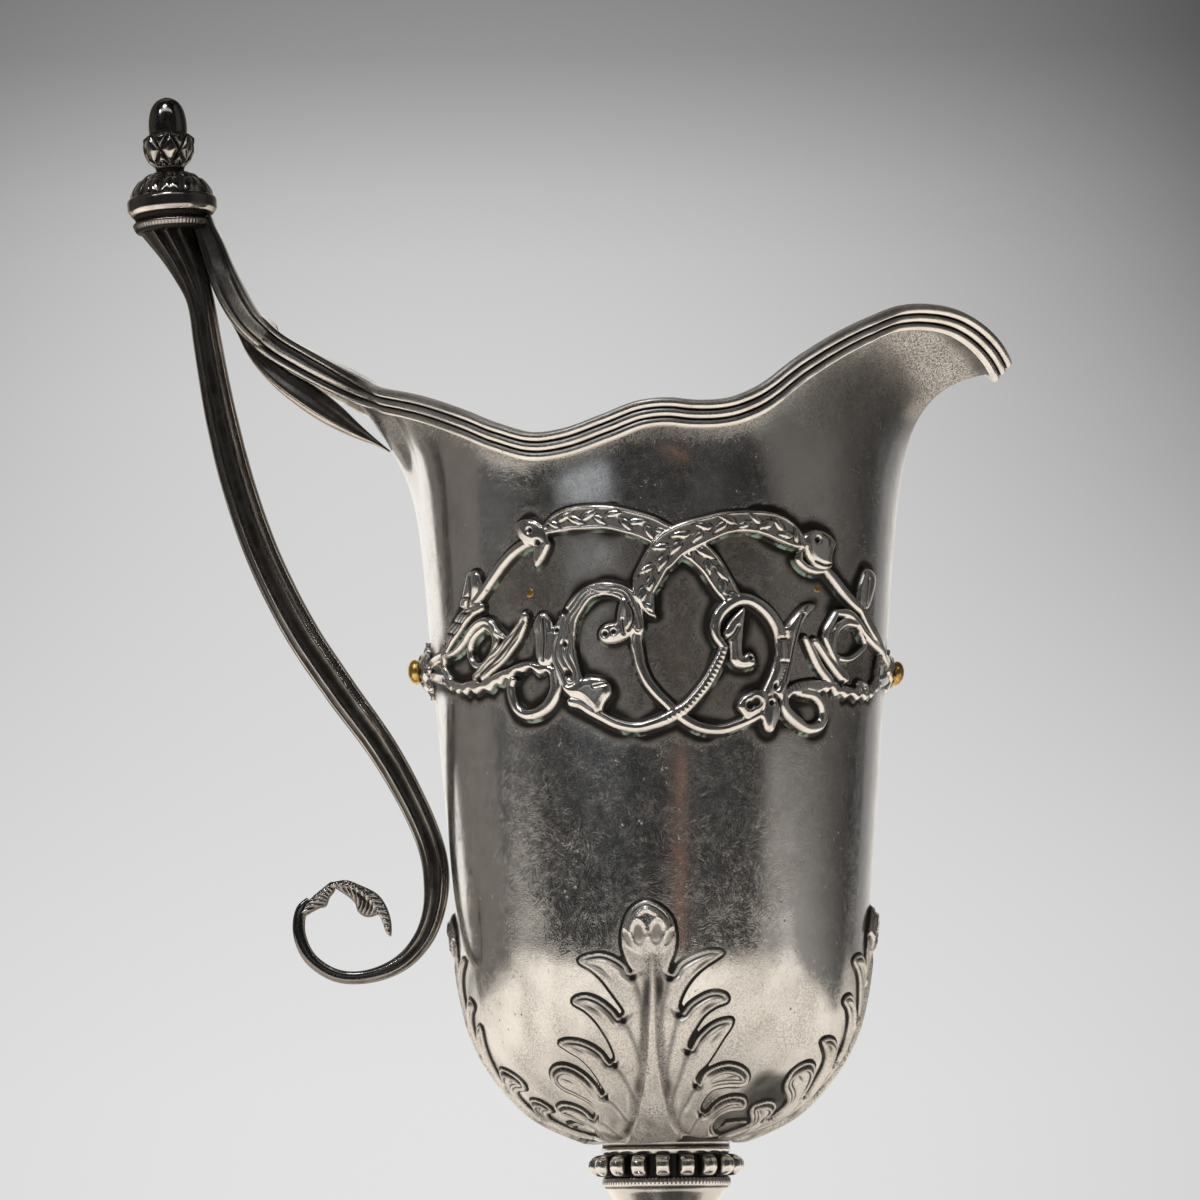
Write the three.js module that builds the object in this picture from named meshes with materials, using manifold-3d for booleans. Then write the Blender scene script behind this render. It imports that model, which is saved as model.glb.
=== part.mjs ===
// Silver milk jug on a pedestal foot: bell body with a wavy reeded rim and a
// drooping spout, a tall handle of two branches under an acorn finial, an
// applied pierced frieze, four applied acanthus leaves and a bead collar.
// Millimetres, +Z up. The origin is the centre of the foot's underside,
// the spout points along +X and the handle along -X.
import * as THREE from 'three';
import Module from 'manifold-3d';

const wasm = await Module();
wasm.setup();

// ---------------------------------------------------------------- dimensions
const GAP = 0.35;               // clearance left at every soldered face
const WALL = 0.8;               // body sheet thickness
const BODY_COLUMNS = 40;        // facets round the body
const BOTTOM_Z = 43.4;          // underside of the body
const FLARE_Z = 140.2;          // the round body ends here and the lip begins
const FLARE_R = 39.82;
const WIRE_WIDTH = 4.75;        // reeded rim wire, measured down the lip
const WIRE_THICK = 1.5;
const RELIEF_R = 39.0;          // radius at which frieze lengths are measured
const RELIEF_T = 1.15;          // frieze thickness
const LEAF_T = 0.85;            // acanthus leaf thickness
const BEADS = 18;
const BEAD_R = 13.2;            // bead collar, outer radius
const FOOT_R = 31.2;            // foot edge, outer radius
const FINIAL_X = -82.7;         // finial axis at the collar's underside
const FINIAL_Z = 203.0;
const FINIAL_LEAN = -2.9;       // degrees, towards the handle side
const PIN_R = 0.75;             // brass pins in the body wall
const PIN_HOLE_R = 1.1;

// Body outer profile, [z, r]
const PROFILE = [
  [43.4, 10.8], [46.9, 19.6], [50.35, 24.3], [53.7, 27.3], [57.1, 29.75],
  [61.5, 31.85], [66.5, 33.2], [71, 34.0], [79, 34.75], [88, 35.5],
  [98, 36.35], [108, 37.2], [118, 38.0], [129, 38.95], [FLARE_Z, FLARE_R],
];

// Rim by angle from the spout: plan radius, height of the top edge, lean of the
// wire from upright, drop of the sheet edge below the top, extra lean of the sheet
const RIM_A = [0, 4, 8, 12, 18, 24, 30, 39, 46, 56, 65, 71, 78, 85, 91, 99, 108, 114, 123, 133, 145, 155, 165, 180];
const RIM_R = [60.6, 60.0, 58.9, 57.4, 54.8, 52.2, 49.9, 47.8, 46.5, 45.2, 44.4, 44.1, 43.8, 43.7, 43.6, 43.6, 43.6, 43.8, 44.1, 44.8, 46.0, 47.9, 50.4, 53.4];
const RIM_Z = [174.8, 176, 177.6, 179.2, 180.9, 181.3, 180.8, 178.1, 175.4, 170.7, 165.7, 163.85, 163.35, 163.8, 163.35, 161.3, 159.3, 158.95, 160.85, 163.95, 167.1, 169.1, 170.9, 172];
const LEAN_A = [0, 15, 30, 45, 60, 90, 120, 140, 155, 170, 180];
const LEAN_D = [42, 40, 34, 27, 21, 14, 14, 19, 27, 36, 40];
const DROP_D = [3.6, 2.8, 1.6, 1.0, 1.0, 1.0, 1.0, 1.0, 1.6, 5.0, 5.2];
const EXTRA_D = [41, 31, 17, 9, 6, 5, 5, 6, 8, 7, 6];
const PULL_A = [0, 30, 60, 90, 120, 150, 180];
const PULL_0 = [0.60, 0.55, 0.42, 0.40, 0.40, 0.52, 0.70];
const PULL_1 = [0.38, 0.36, 0.35, 0.35, 0.35, 0.32, 0.30];

// Rim wire beyond the body, where its two ends rise to the handle (near side):
// top edge x, y, z and the depth of the wire behind its reeded face
const RAIL = [
  [-46.2, -16.3, 170.25, 0.1], [-49.1, -11.4, 172.2, 0.8], [-53.5, -7.6, 175.0, 1.6],
  [-58.5, -5.4, 178.2, 2.4], [-63.2, -4.6, 181.2, 2.6], [-67.4, -4.4, 184.9, 2.6],
];

// Handle, lower branch: x, z, thickness in the side view, width across
const LOWER = [
  [-84.9, 203.4, 9.6, 8.0], [-83.4, 200.2, 8.2, 8.0], [-81.6, 196.6, 6.5, 7.4], [-79.9, 193.1, 5.6, 7.0], [-78.0, 188.3, 4.6, 6.6],
  [-76.6, 179.6, 4.9, 6.4], [-74.4, 167.4, 5.4, 6.4], [-71.4, 155.3, 5.7, 6.4], [-67.2, 143.2, 5.8, 6.4],
  [-61.2, 131.0, 5.8, 6.4], [-54.5, 120.7, 5.6, 6.2], [-47.2, 110.3, 5.2, 6.0], [-41.6, 100.0, 4.7, 5.6],
  [-39.0, 93.1, 4.5, 5.2], [-38.3, 88.0, 4.4, 4.8], [-38.8, 82.9, 3.8, 4.2], [-40.8, 77.9, 3.3, 3.6],
  [-44.7, 73.9, 2.8, 3.0], [-50.6, 71.8, 2.3, 2.5], [-55.7, 72.2, 2.2, 2.3], [-60.0, 75.2, 2.2, 2.2],
  [-61.8, 79.6, 2.1, 2.1], [-61.2, 83.2, 2.0, 2.2],
];
// Curled leaf at the end of the scroll
const TIP_LEAF = [
  [-60.5, 84.6, 1.8, 2.4], [-58.6, 86.5, 2.6, 4.4], [-55.0, 87.6, 1.6, 4.2], [-51.8, 86.4, 3.2, 5.4],
  [-49.2, 83.9, 3.6, 5.6], [-47.4, 81.4, 2.0, 3.4], [-46.6, 78.9, 0.7, 1.0],
];
// Handle, upper branch between the wire ends and the collar
const UPPER = [
  [-69.9, 184.5, 4.9, 8.4], [-70.85, 186.0, 5.0, 8.3], [-72.85, 189.85, 4.95, 8.0], [-74.15, 193.0, 4.6, 7.6],
  [-75.65, 197.1, 4.2, 7.2], [-76.9, 200.4, 3.8, 6.9], [-77.9, 203.4, 3.8, 6.6],
];
// Strap under the upper branch: x, z, thickness in the side view, width across
const STRAP = [
  [-71.0, 180.7, 0.7, 3.0], [-68.9, 178.5, 1.2, 4.6], [-66.8, 176.5, 1.7, 6.0], [-63.6, 174.1, 2.2, 7.2],
  [-59.2, 171.3, 2.6, 8.2], [-55.2, 168.4, 2.7, 8.2], [-51.5, 165.3, 1.8, 6.4], [-47.8, 162.6, 0.9, 3.2], [-45.9, 161.3, 0.5, 1.0],
];

// Frieze, near half: bands along [distance round the body, height, half width]
const FRIEZE = {
  bar_handle: [[-32.6, 131.8, 0.7], [-30.3, 133.4, 0.85], [-25, 138.2, 0.9], [-20.2, 141.1, 0.85], [-18.1, 141.6, 0.75]],
  clasp_handle: [[-21.2, 143.6, 1.4], [-16.6, 142.4, 1.5]],
  laurel_under: [[-16.6, 143, 1.1], [-14.4, 144.1, 1.6], [-10, 144.8, 1.95], [-5.4, 144.6, 1.93], [-1.1, 143.4, 1.98], [2.6, 141.6, 2.04], [7.1, 139.6, 2], [10.5, 136.6, 1.9], [13.9, 131.4, 1.55]],
  laurel_over: [[26, 140.5, 1], [22.4, 142.7, 2.1], [17, 143.9, 1.8], [12.5, 143.5, 1.85], [7.4, 141.7, 2.3], [3.8, 139.7, 2.5], [1.7, 137.3, 2.3], [0, 134.1, 2.1], [0.1, 130.7, 1.2], [1.4, 128.3, 0.4]],
  ring_over: [[12.2, 124.9, 0.7], [12, 121.7, 0.85], [9.9, 117.7, 0.95], [6.5, 113.8, 1], [2.8, 111.7, 1], [-1.8, 110.4, 0.87], [-5.8, 111.3, 0.85], [-10.1, 113.7, 0.9], [-13, 115, 0.9]],
  ring_under: [[-1.4, 127.5, 0.95], [-1.5, 122.5, 0.9], [-0.1, 118, 0.85], [3.3, 114.1, 0.85], [6.7, 111.3, 0.85], [10.8, 110, 0.82], [15.3, 110.9, 0.82], [19.6, 112.8, 0.8]],
  scroll_handle: [[-12.9, 118.2, 1.95], [-14.1, 122.7, 2.2], [-13.5, 126.7, 1.85], [-11.4, 130.7, 1.43], [-7.3, 133.1, 1.14], [-3.4, 132.1, 1.27], [-1.7, 128.3, 1.22], [-1.4, 126.1, 1]],
  hood_handle: [[-13.6, 118.8, 1.7], [-10.6, 113.4, 1.7]],
  scroll_spout: [[12.6, 123, 0.7], [11.2, 126.9, 0.9], [13.4, 130.3, 1.06], [17, 131.1, 0.95], [20.8, 128.6, 1.1], [22.8, 124.3, 1.16], [22.4, 119.8, 1.16], [20.5, 115.8, 1.1]],
  flower_spout: [[20.8, 117, 1.4], [19.3, 111.9, 1.4]],
  leaf_loop_handle: [[-41.5, 120, 0.75], [-43.4, 122.6, 0.75], [-40.1, 127, 1.3], [-34.9, 130.2, 1.25], [-30.2, 131.8, 0.85]],
  leaf_handle: [[-33, 119.6, 1], [-27, 122.9, 1.4], [-22.8, 126.4, 1.2], [-21, 129.4, 0.75]],
  rope_handle: [[-13.6, 119.2, 0.9], [-18.7, 120.7, 0.8], [-22.9, 121, 0.75], [-29.2, 119.1, 1.05], [-34.5, 118.8, 0.95], [-40.4, 119.4, 0.85], [-43.8, 120.5, 0.85]],
  loop_handle: [[-16, 120.3, 1], [-15.9, 117.3, 1.1], [-17.3, 114.8, 1.1], [-21.9, 113.3, 0.82], [-24.7, 116.2, 0.85], [-24, 120.4, 0.6]],
  bud_spout: [[25.6, 141, 1.4], [28.6, 139.6, 2.1], [32.2, 136.4, 1.2]],
  bar_spout: [[31, 137.1, 0.8], [36.1, 133.4, 1], [41.1, 130.9, 0.85]],
  leaf_loop_spout: [[40.2, 131.6, 0.85], [43.9, 128.9, 1], [50.2, 125.3, 0.75], [52.1, 124, 0.6]],
  oval_spout: [[41.5, 129.6, 0.8], [36.6, 128.3, 0.75], [33.8, 124.9, 0.85], [35.4, 120.9, 0.85], [38.4, 117.6, 0.85]],
  fern_spout: [[29.7, 124.8, 0.65], [34.4, 120.6, 0.8], [37.6, 117.6, 0.7]],
  rope_spout: [[20.4, 115, 0.8], [26.1, 116.8, 1], [31, 117.4, 1.15], [38.5, 117.1, 0.85], [45.8, 117.2, 0.75], [50.3, 119.1, 0.65]],
  loop_spout: [[23, 116.4, 0.85], [24.2, 113.4, 1], [29.2, 110.5, 0.82], [32.5, 113, 1], [30, 115.9, 0.85], [27.4, 117, 0.75]],
};

// Acanthus leaf outline: height on the body, half width
const LEAF = [
  [45.4, 8.6], [46.9, 11.4], [50.35, 15.6], [53.7, 16], [57.1, 15.2], [61.5, 13.3], [66.5, 12.1], [71, 11],
  [74, 9], [76, 4.4], [79, 4], [81.6, 1.8],
];
const LEAF_OFF = -1.0;          // the leaf's middle, to the handle side of the near side

// ---------------------------------------------------------------- materials
const silverSheet = new THREE.MeshStandardMaterial({ color: 0xb9b2a8, roughness: 0.24, metalness: 1 });
const silverCast = new THREE.MeshStandardMaterial({ color: 0xb3aba0, roughness: 0.3, metalness: 1 });
const silverDark = new THREE.MeshStandardMaterial({ color: 0x7d766e, roughness: 0.3, metalness: 1 });
const brass = new THREE.MeshStandardMaterial({ color: 0xb28a3c, roughness: 0.35, metalness: 1 });

// ---------------------------------------------------------------- helpers
const rad = THREE.MathUtils.degToRad;

// Smooth curve through a table of values
function curve(xs, ys) {
  const n = xs.length;
  const m = ys.map((y, i) => {
    if (i === 0 || i === n - 1) return 0;
    const a = (ys[i] - ys[i - 1]) / (xs[i] - xs[i - 1]);
    const b = (ys[i + 1] - ys[i]) / (xs[i + 1] - xs[i]);
    const h0 = xs[i] - xs[i - 1], h1 = xs[i + 1] - xs[i];
    return (a * h1 + b * h0) / (h0 + h1);
  });
  return (x) => {
    if (x <= xs[0]) return ys[0];
    if (x >= xs[n - 1]) return ys[n - 1];
    let i = 0;
    while (x > xs[i + 1]) i += 1;
    const h = xs[i + 1] - xs[i], t = (x - xs[i]) / h;
    const t2 = t * t, t3 = t2 * t;
    return (2 * t3 - 3 * t2 + 1) * ys[i] + (t3 - 2 * t2 + t) * h * m[i]
      + (-2 * t3 + 3 * t2) * ys[i + 1] + (t3 - t2) * h * m[i + 1];
  };
}

// Closed surface, turned to face outwards
function closed(pos, idx) {
  let vol = 0;
  const v = new THREE.Vector3(), w = new THREE.Vector3(), u = new THREE.Vector3();
  for (let i = 0; i < idx.length; i += 3) {
    v.fromArray(pos, idx[i] * 3); w.fromArray(pos, idx[i + 1] * 3); u.fromArray(pos, idx[i + 2] * 3);
    vol += v.dot(w.cross(u));
  }
  if (vol < 0) for (let i = 0; i < idx.length; i += 3) [idx[i], idx[i + 1]] = [idx[i + 1], idx[i]];
  const g = new THREE.BufferGeometry();
  g.setAttribute('position', new THREE.Float32BufferAttribute(pos, 3));
  g.setIndex(idx);
  g.computeVertexNormals();
  return g;
}

// Same surface with its shared corners joined
function merged(g) {
  const p = g.getAttribute('position'), map = new Map(), pos = [], idx = [];
  const src = g.getIndex().array;
  for (let i = 0; i < src.length; i += 1) {
    const k = [0, 1, 2].map((q) => Math.round(p.array[src[i] * 3 + q] * 1e4)).join();
    if (!map.has(k)) {
      map.set(k, pos.length / 3);
      pos.push(p.array[src[i] * 3], p.array[src[i] * 3 + 1], p.array[src[i] * 3 + 2]);
    }
    idx.push(map.get(k));
  }
  const keep = [];
  for (let i = 0; i < idx.length; i += 3) {
    if (idx[i] !== idx[i + 1] && idx[i + 1] !== idx[i + 2] && idx[i] !== idx[i + 2]) keep.push(idx[i], idx[i + 1], idx[i + 2]);
  }
  return closed(pos, keep);
}

// Skin over a row of equal closed sections, with flat ends
function loft(rings) {
  const m = rings[0].length, n = rings.length, pos = [], idx = [];
  rings.forEach((r) => r.forEach((p) => pos.push(p[0], p[1], p[2])));
  for (let i = 0; i < n - 1; i += 1) {
    for (let j = 0; j < m; j += 1) {
      const a = i * m + j, b = i * m + (j + 1) % m, c = a + m, d = b + m;
      idx.push(a, b, d, a, d, c);
    }
  }
  [[0, 1], [n - 1, -1]].forEach(([k, s]) => {
    const mid = [0, 1, 2].map((q) => rings[k].reduce((t, p) => t + p[q], 0) / m);
    const o = pos.length / 3;
    pos.push(...mid);
    for (let j = 0; j < m; j += 1) {
      const a = k * m + j, b = k * m + (j + 1) % m;
      if (s > 0) idx.push(o, b, a); else idx.push(o, a, b);
    }
  });
  return closed(pos, idx);
}

// Turned piece about the vertical axis, from [radius, height] pairs
function turned(profile, segments) {
  const g = new THREE.LatheGeometry(profile.map(([r, z]) => new THREE.Vector2(r, z)), segments);
  g.rotateX(Math.PI / 2);
  return merged(g);
}

// Bar along a line in the side view; every row is x, z, thickness, width
function bar(rows, sides, steps) {
  const path = new THREE.CatmullRomCurve3(rows.map(([x, z]) => new THREE.Vector3(x, 0, z)), false, 'centripetal');
  const size = new THREE.CatmullRomCurve3(rows.map(([, , t, w]) => new THREE.Vector3(t, w, 0)), false, 'centripetal');
  const rings = [];
  const per = steps / (rows.length - 1);
  for (let i = 0; i <= steps; i += 1) {
    const t = (i / per) / (rows.length - 1);
    const c = path.getPoint(t), d = path.getTangent(t), s = size.getPoint(t);
    const n = new THREE.Vector3(d.z, 0, -d.x);
    const ring = [];
    for (let k = 0; k < sides; k += 1) {
      const a = 2 * Math.PI * (k + 0.5) / sides;
      const f = 1 / Math.cos(Math.PI / sides);
      ring.push([
        c.x + n.x * Math.cos(a) * f * s.x / 2,
        Math.sin(a) * f * s.y / 2,
        c.z + n.z * Math.cos(a) * f * s.x / 2,
      ]);
    }
    rings.push(ring);
  }
  return loft(rings);
}

// Solid for joining and cutting, and back
function solid(g) {
  const p = g.getAttribute('position');
  return new wasm.Manifold(new wasm.Mesh({
    numProp: 3,
    vertProperties: new Float32Array(p.array),
    triVerts: new Uint32Array(g.getIndex().array),
  }));
}
function surface(man) {
  const m = man.getMesh();
  const pos = [];
  for (let i = 0; i < m.numVert; i += 1) {
    for (let k = 0; k < 3; k += 1) pos.push(m.vertProperties[i * m.numProp + k]);
  }
  return closed(pos, Array.from(m.triVerts));
}

const jug = new THREE.Group();
jug.name = 'milk_jug';
function add(name, geometry, material, parent = jug) {
  const m = new THREE.Mesh(geometry, material.clone());
  m.name = name;
  parent.add(m);
  return m;
}

// ---------------------------------------------------------------- body sheet
function bodyR(z) {
  if (z >= FLARE_Z) return FLARE_R + 0.12 * (z - FLARE_Z);
  let i = 0;
  while (i < PROFILE.length - 2 && z > PROFILE[i + 1][0]) i += 1;
  const [z0, r0] = PROFILE[i], [z1, r1] = PROFILE[i + 1];
  return r0 + (r1 - r0) * (z - z0) / (z1 - z0);
}
function bodyNormal(z) {
  const d = (bodyR(z + 0.2) - bodyR(z - 0.2)) / 0.4;
  const l = Math.hypot(1, d);
  return [1 / l, -d / l];
}
const rimR = curve(RIM_A, RIM_R), rimZ = curve(RIM_A, RIM_Z);
const lean = curve(LEAN_A, LEAN_D), drop = curve(LEAN_A, DROP_D), extra = curve(LEAN_A, EXTRA_D);
const pull0 = curve(PULL_A, PULL_0), pull1 = curve(PULL_A, PULL_1);

// Lip of the body at an angle from the spout: a curve from the round body to the rim
function lip(a) {
  const b = rad(lean(a));
  const e = [rimR(a), rimZ(a)];
  const down = [-Math.sin(b), -Math.cos(b)], out = [Math.cos(b), -Math.sin(b)];
  const d = drop(a), o = -0.8 - GAP - 0.1;
  const p3 = new THREE.Vector2(e[0] + down[0] * d + out[0] * o, e[1] + down[1] * d + out[1] * o);
  const p0 = new THREE.Vector2(FLARE_R, FLARE_Z);
  const c = rad(lean(a) + extra(a));
  const len = p0.distanceTo(p3);
  const t0 = new THREE.Vector2(0.095, 1).normalize();
  const p1 = p0.clone().addScaledVector(t0, pull0(a) * len);
  const p2 = p3.clone().addScaledVector(new THREE.Vector2(-Math.sin(c), -Math.cos(c)), pull1(a) * len);
  return new THREE.CubicBezierCurve(p0, p1, p2, p3);
}

const angles = [];
for (let j = 0; j < BODY_COLUMNS; j += 1) angles.push(360 * j / BODY_COLUMNS);
const fold = (a) => (a > 180 ? 360 - a : a);
const lips = angles.map((a) => lip(fold(a)));
const ringAt = (fn) => angles.map((a, j) => {
  const [r, z] = fn(j);
  return [r * Math.cos(rad(a)), r * Math.sin(rad(a)), z];
});
const bodyRings = [];
PROFILE.forEach(([z]) => bodyRings.push(ringAt(() => [bodyR(z), z])));
const LIP_STEPS = [0.25, 0.45, 0.62, 0.76, 0.88, 1];
LIP_STEPS.forEach((t) => bodyRings.push(ringAt((j) => {
  const p = lips[j].getPoint(t);
  return [p.x, p.y];
})));
[1, 0.88, 0.76, 0.62, 0.45, 0.25].forEach((t) => bodyRings.push(ringAt((j) => {
  const p = lips[j].getPoint(t), d = lips[j].getTangent(t);
  return [p.x - d.y * WALL, p.y + d.x * WALL];
})));
[FLARE_Z, 118, 98, 79, 66.5, 57.1, 50.35, 46.9].forEach((z) => bodyRings.push(ringAt(() => {
  const n = bodyNormal(z);
  return [bodyR(z) - n[0] * WALL, z - n[1] * WALL];
})));
bodyRings.push(ringAt(() => [10, BOTTOM_Z + WALL]));
let bodySolid = solid(loft(bodyRings));

// Brass pins through the body wall, two on each broad side
const PINS = [[-20.2, 133.2], [30.4, 133.7]];
const pinAt = [];
PINS.forEach(([s, z]) => [0, Math.PI].forEach((turn) => pinAt.push([s / RELIEF_R - Math.PI / 2 + turn, z])));
function pin(r, from, to, sides, [a, z]) {
  const g = new THREE.CylinderGeometry(r, r, to - from, sides);
  g.rotateZ(-Math.PI / 2);
  g.translate((from + to) / 2, 0, 0);
  g.rotateZ(a);
  g.translate(0, 0, z);
  return g;
}
pinAt.forEach((p) => { bodySolid = bodySolid.subtract(solid(merged(pin(PIN_HOLE_R, 33, 44, 8, p)))); });
add('body_shell', surface(bodySolid), silverSheet);
pinAt.forEach((p, i) => {
  const r = bodyR(p[1]);
  add(`brass_pin_${i + 1}`, merged(pin(PIN_R, r - WALL - 0.2, r, 8, p)), brass);
});

// ---------------------------------------------------------------- rim wire
const nearEdge = [];
[2, 5, 8, 12, 16, 20, 25, 30, 36, 42, 48, 55, 62, 69, 76, 83, 90, 97, 104, 111, 118, 125, 132, 139, 146, 153].forEach((a) => {
  nearEdge.push([rimR(a) * Math.cos(rad(a)), -rimR(a) * Math.sin(rad(a)), rimZ(a), 0, lean(a)]);
});
RAIL.forEach(([x, y, z, th], i) => nearEdge.push([x, y, z, th, [24, 17, 11, 6, 3, 2][i]]));
const edge = [...nearEdge.slice().reverse(), [rimR(0), 0, rimZ(0), 0, lean(0)],
  ...nearEdge.map(([x, y, z, th, l]) => [x, -y, z, th, l])];
const wireRings = edge.map((e, i) => {
  const p = new THREE.Vector3(...e.slice(0, 3));
  const q0 = new THREE.Vector3(...edge[Math.max(i - 1, 0)].slice(0, 3));
  const q1 = new THREE.Vector3(...edge[Math.min(i + 1, edge.length - 1)].slice(0, 3));
  const t = q1.sub(q0).normalize();
  const flat = new THREE.Vector3(t.y, -t.x, 0).normalize();
  const b = rad(e[4]);
  const down = flat.clone().multiplyScalar(-Math.sin(b)).add(new THREE.Vector3(0, 0, -Math.cos(b)));
  down.addScaledVector(t, -down.dot(t)).normalize();
  const out = flat.clone().multiplyScalar(Math.cos(b)).add(new THREE.Vector3(0, 0, -Math.sin(b)));
  out.addScaledVector(t, -out.dot(t)).addScaledVector(down, -out.dot(down)).normalize();
  const W = WIRE_WIDTH, T = WIRE_THICK, k = -e[3];
  return [[0, k], [-0.15, 0.8], [0.5, T], [W / 2, T + 0.05], [W - 0.5, T], [W - 0.1, 0.8], [W - 0.3, k], [W / 2, k]]
    .map(([bb, nn]) => {
      const v = p.clone().addScaledVector(down, bb).addScaledVector(out, nn - 0.8);
      return [v.x, v.y, v.z];
    });
});
add('rim_wire', loft(wireRings), silverCast);

// ---------------------------------------------------------------- handle
// Both branches end level under the finial's socket
const above = new THREE.BoxGeometry(40, 40, 20);
above.translate(0, 0, 10 - 2.3 - GAP);
above.rotateY(rad(FINIAL_LEAN));
above.translate(FINIAL_X, 0, FINIAL_Z);
const cutter = solid(merged(above));
add('handle_upper_branch', surface(solid(bar(UPPER, 8, 12)).subtract(cutter)), silverDark);
add('handle_lower_branch', surface(solid(bar(LOWER, 8, 46)).subtract(cutter)), silverDark);
add('scroll_leaf', bar(TIP_LEAF, 8, 14), silverDark);
add('handle_strap', bar(STRAP, 8, 16), silverDark);

// Finial: socket, collar, leaf dome, acorn cup and nut, threaded on one stud
const finial = new THREE.Group();
finial.position.set(FINIAL_X, 0, FINIAL_Z);
finial.rotation.y = rad(FINIAL_LEAN);
jug.add(finial);
const HOLE = 1.4;
const around = (profile, n) => turned([...profile, profile[0]], n);
add('finial_socket', around([[HOLE, -2.3], [6.4, -2.3], [7.0, -1.6], [7.0, -0.35], [HOLE, -0.35]], 24), silverDark, finial);
add('finial_collar', around([[HOLE, 0], [7.3, 0], [7.7, 0.5], [7.75, 2.4], [7.3, 3.0], [HOLE, 3.0]], 24), silverDark, finial);
add('finial_dome', around([[HOLE, 3.35], [7.1, 3.35], [6.8, 4.2], [5.8, 5.6], [4.2, 6.7], [2.7, 7.3], [HOLE, 7.35]], 24), silverDark, finial);
add('acorn_cup', around([[HOLE, 7.7], [2.4, 7.7], [2.5, 8.3], [3.6, 9.4], [4.35, 11.2], [4.5, 12.8], [4.1, 13.6], [3.4, 13.9], [HOLE, 13.9]], 20), silverDark, finial);
add('acorn_nut', turned([[0, 18.2], [HOLE, 18.2], [HOLE, 14.25], [3.3, 14.25], [3.35, 15.6], [3.2, 17.6], [2.6, 19.4], [1.5, 20.4], [0, 20.7]], 20), silverDark, finial);
add('finial_stud', turned([[0, -2.1], [0.95, -2.1], [1.05, -1.8], [1.05, 17.4], [0.95, 17.7], [0, 17.7]], 12), brass, finial);

// ---------------------------------------------------------------- frieze
function band(rows) {
  const c = new THREE.CatmullRomCurve3(rows.map(([s, z]) => new THREE.Vector3(s, z, 0)), false, 'centripetal');
  const steps = rows.length - 1;
  const hw = curve(rows.map((_, i) => i), rows.map((r) => r[2]));
  const rings = [];
  for (let i = 0; i <= steps; i += 1) {
    const t = i / steps;
    const p = c.getPoint(t), d = c.getTangent(t), w = hw(t * (rows.length - 1));
    const at = (k, h) => {
      const s = p.x - d.y * k * w, z = p.y + d.x * k * w, a = s / RELIEF_R - Math.PI / 2, r = bodyR(z) + h;
      return [r * Math.cos(a), r * Math.sin(a), z];
    };
    rings.push([at(-1, GAP + 0.1), at(1, GAP + 0.1), at(0.8, GAP + RELIEF_T), at(-0.8, GAP + RELIEF_T)]);
  }
  return solid(loft(rings));
}
let half = null;
Object.values(FRIEZE).forEach((rows) => { half = half ? half.add(band(rows)) : band(rows); });
const nearHalf = surface(half);
add('frieze_near_half', nearHalf, silverCast);
const farHalf = nearHalf.clone();
farHalf.rotateZ(Math.PI);
add('frieze_far_half', farHalf, silverCast);

// Rosettes over the two joints of the frieze, each with a gilt stud
[['spout', 14, 122.6], ['handle', 184, 123.2]].forEach(([where, a, z]) => {
  const g = new THREE.Group();
  g.rotation.z = rad(a);
  const stand = new THREE.Group();
  stand.position.set(bodyR(z + 5) + GAP, 0, z);
  stand.rotation.y = Math.PI / 2;
  g.add(stand);
  jug.add(g);
  const ring = [];
  for (let k = 0; k < 32; k += 1) {
    const t = 2 * Math.PI * k / 32, petal = 1 + 0.13 * Math.cos(8 * t);
    ring.push([petal * Math.cos(t), petal * Math.sin(t)]);
  }
  const rows = [[4.6, 0.05], [5.0, 0.5], [3.9, 1.4], [2.3, 1.9]];
  add(`rosette_${where}`, loft(rows.map(([r, h]) => ring.map(([x, y]) => [x * r, y * r, h]))), silverCast, stand);
  add(`rosette_stud_${where}`, turned([[0, 2.25], [1.75, 2.25], [2.05, 2.7], [1.75, 3.3], [1.0, 3.7], [0, 3.8]], 12), brass, stand);
});

// ---------------------------------------------------------------- acanthus leaves
function leaf() {
  const across = 6;
  const at = (x, z, h) => {
    const n = bodyNormal(z), r = bodyR(z), a = Math.asin((x + LEAF_OFF) / r) - Math.PI / 2;
    const rr = r + n[0] * h;
    return [rr * Math.cos(a), rr * Math.sin(a), z + n[1] * h];
  };
  return loft(LEAF.map(([z, w]) => {
    const ring = [];
    for (let k = 0; k <= across; k += 1) ring.push(at(-w + 2 * w * k / across, z, GAP + 0.15));
    for (let k = across; k >= 0; k -= 1) ring.push(at(-w + 2 * w * k / across, z, GAP + LEAF_T * (k === 0 || k === across ? 0.8 : 1.1)));
    return ring;
  }));
}
['near', 'spout', 'far', 'handle'].forEach((where, i) => {
  const g = leaf();
  g.rotateZ(i * Math.PI / 2);
  add(`acanthus_leaf_${where}`, g, silverCast);
});

// ---------------------------------------------------------------- collar, stem and foot
add('neck_ring', turned([[0, 41.5], [10.5, 41.5], [10.9, 42.0], [10.9, 42.6], [10.6, BOTTOM_Z - GAP], [0, BOTTOM_Z - GAP]], 24), silverCast);
const beadRow = (z, base, swell) => {
  const row = [];
  for (let k = 0; k < BEADS * 4; k += 1) {
    const t = 2 * Math.PI * (k / (BEADS * 4)) + Math.PI / 2;
    const c = Math.cos(BEADS * t);
    const r = base + swell * (c > 0 ? 1 : c < -0.5 ? 0 : 0.75);
    row.push([r * Math.cos(t), r * Math.sin(t), z]);
  }
  return row;
};
add('bead_collar', loft([beadRow(37.6, 10.4, 0.9), beadRow(38.5, 10.6, 2.4), beadRow(39.4, 10.6, BEAD_R - 10.6), beadRow(40.3, 10.6, 2.4), beadRow(41.2, 10.4, 0.9)]), silverCast);
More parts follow.
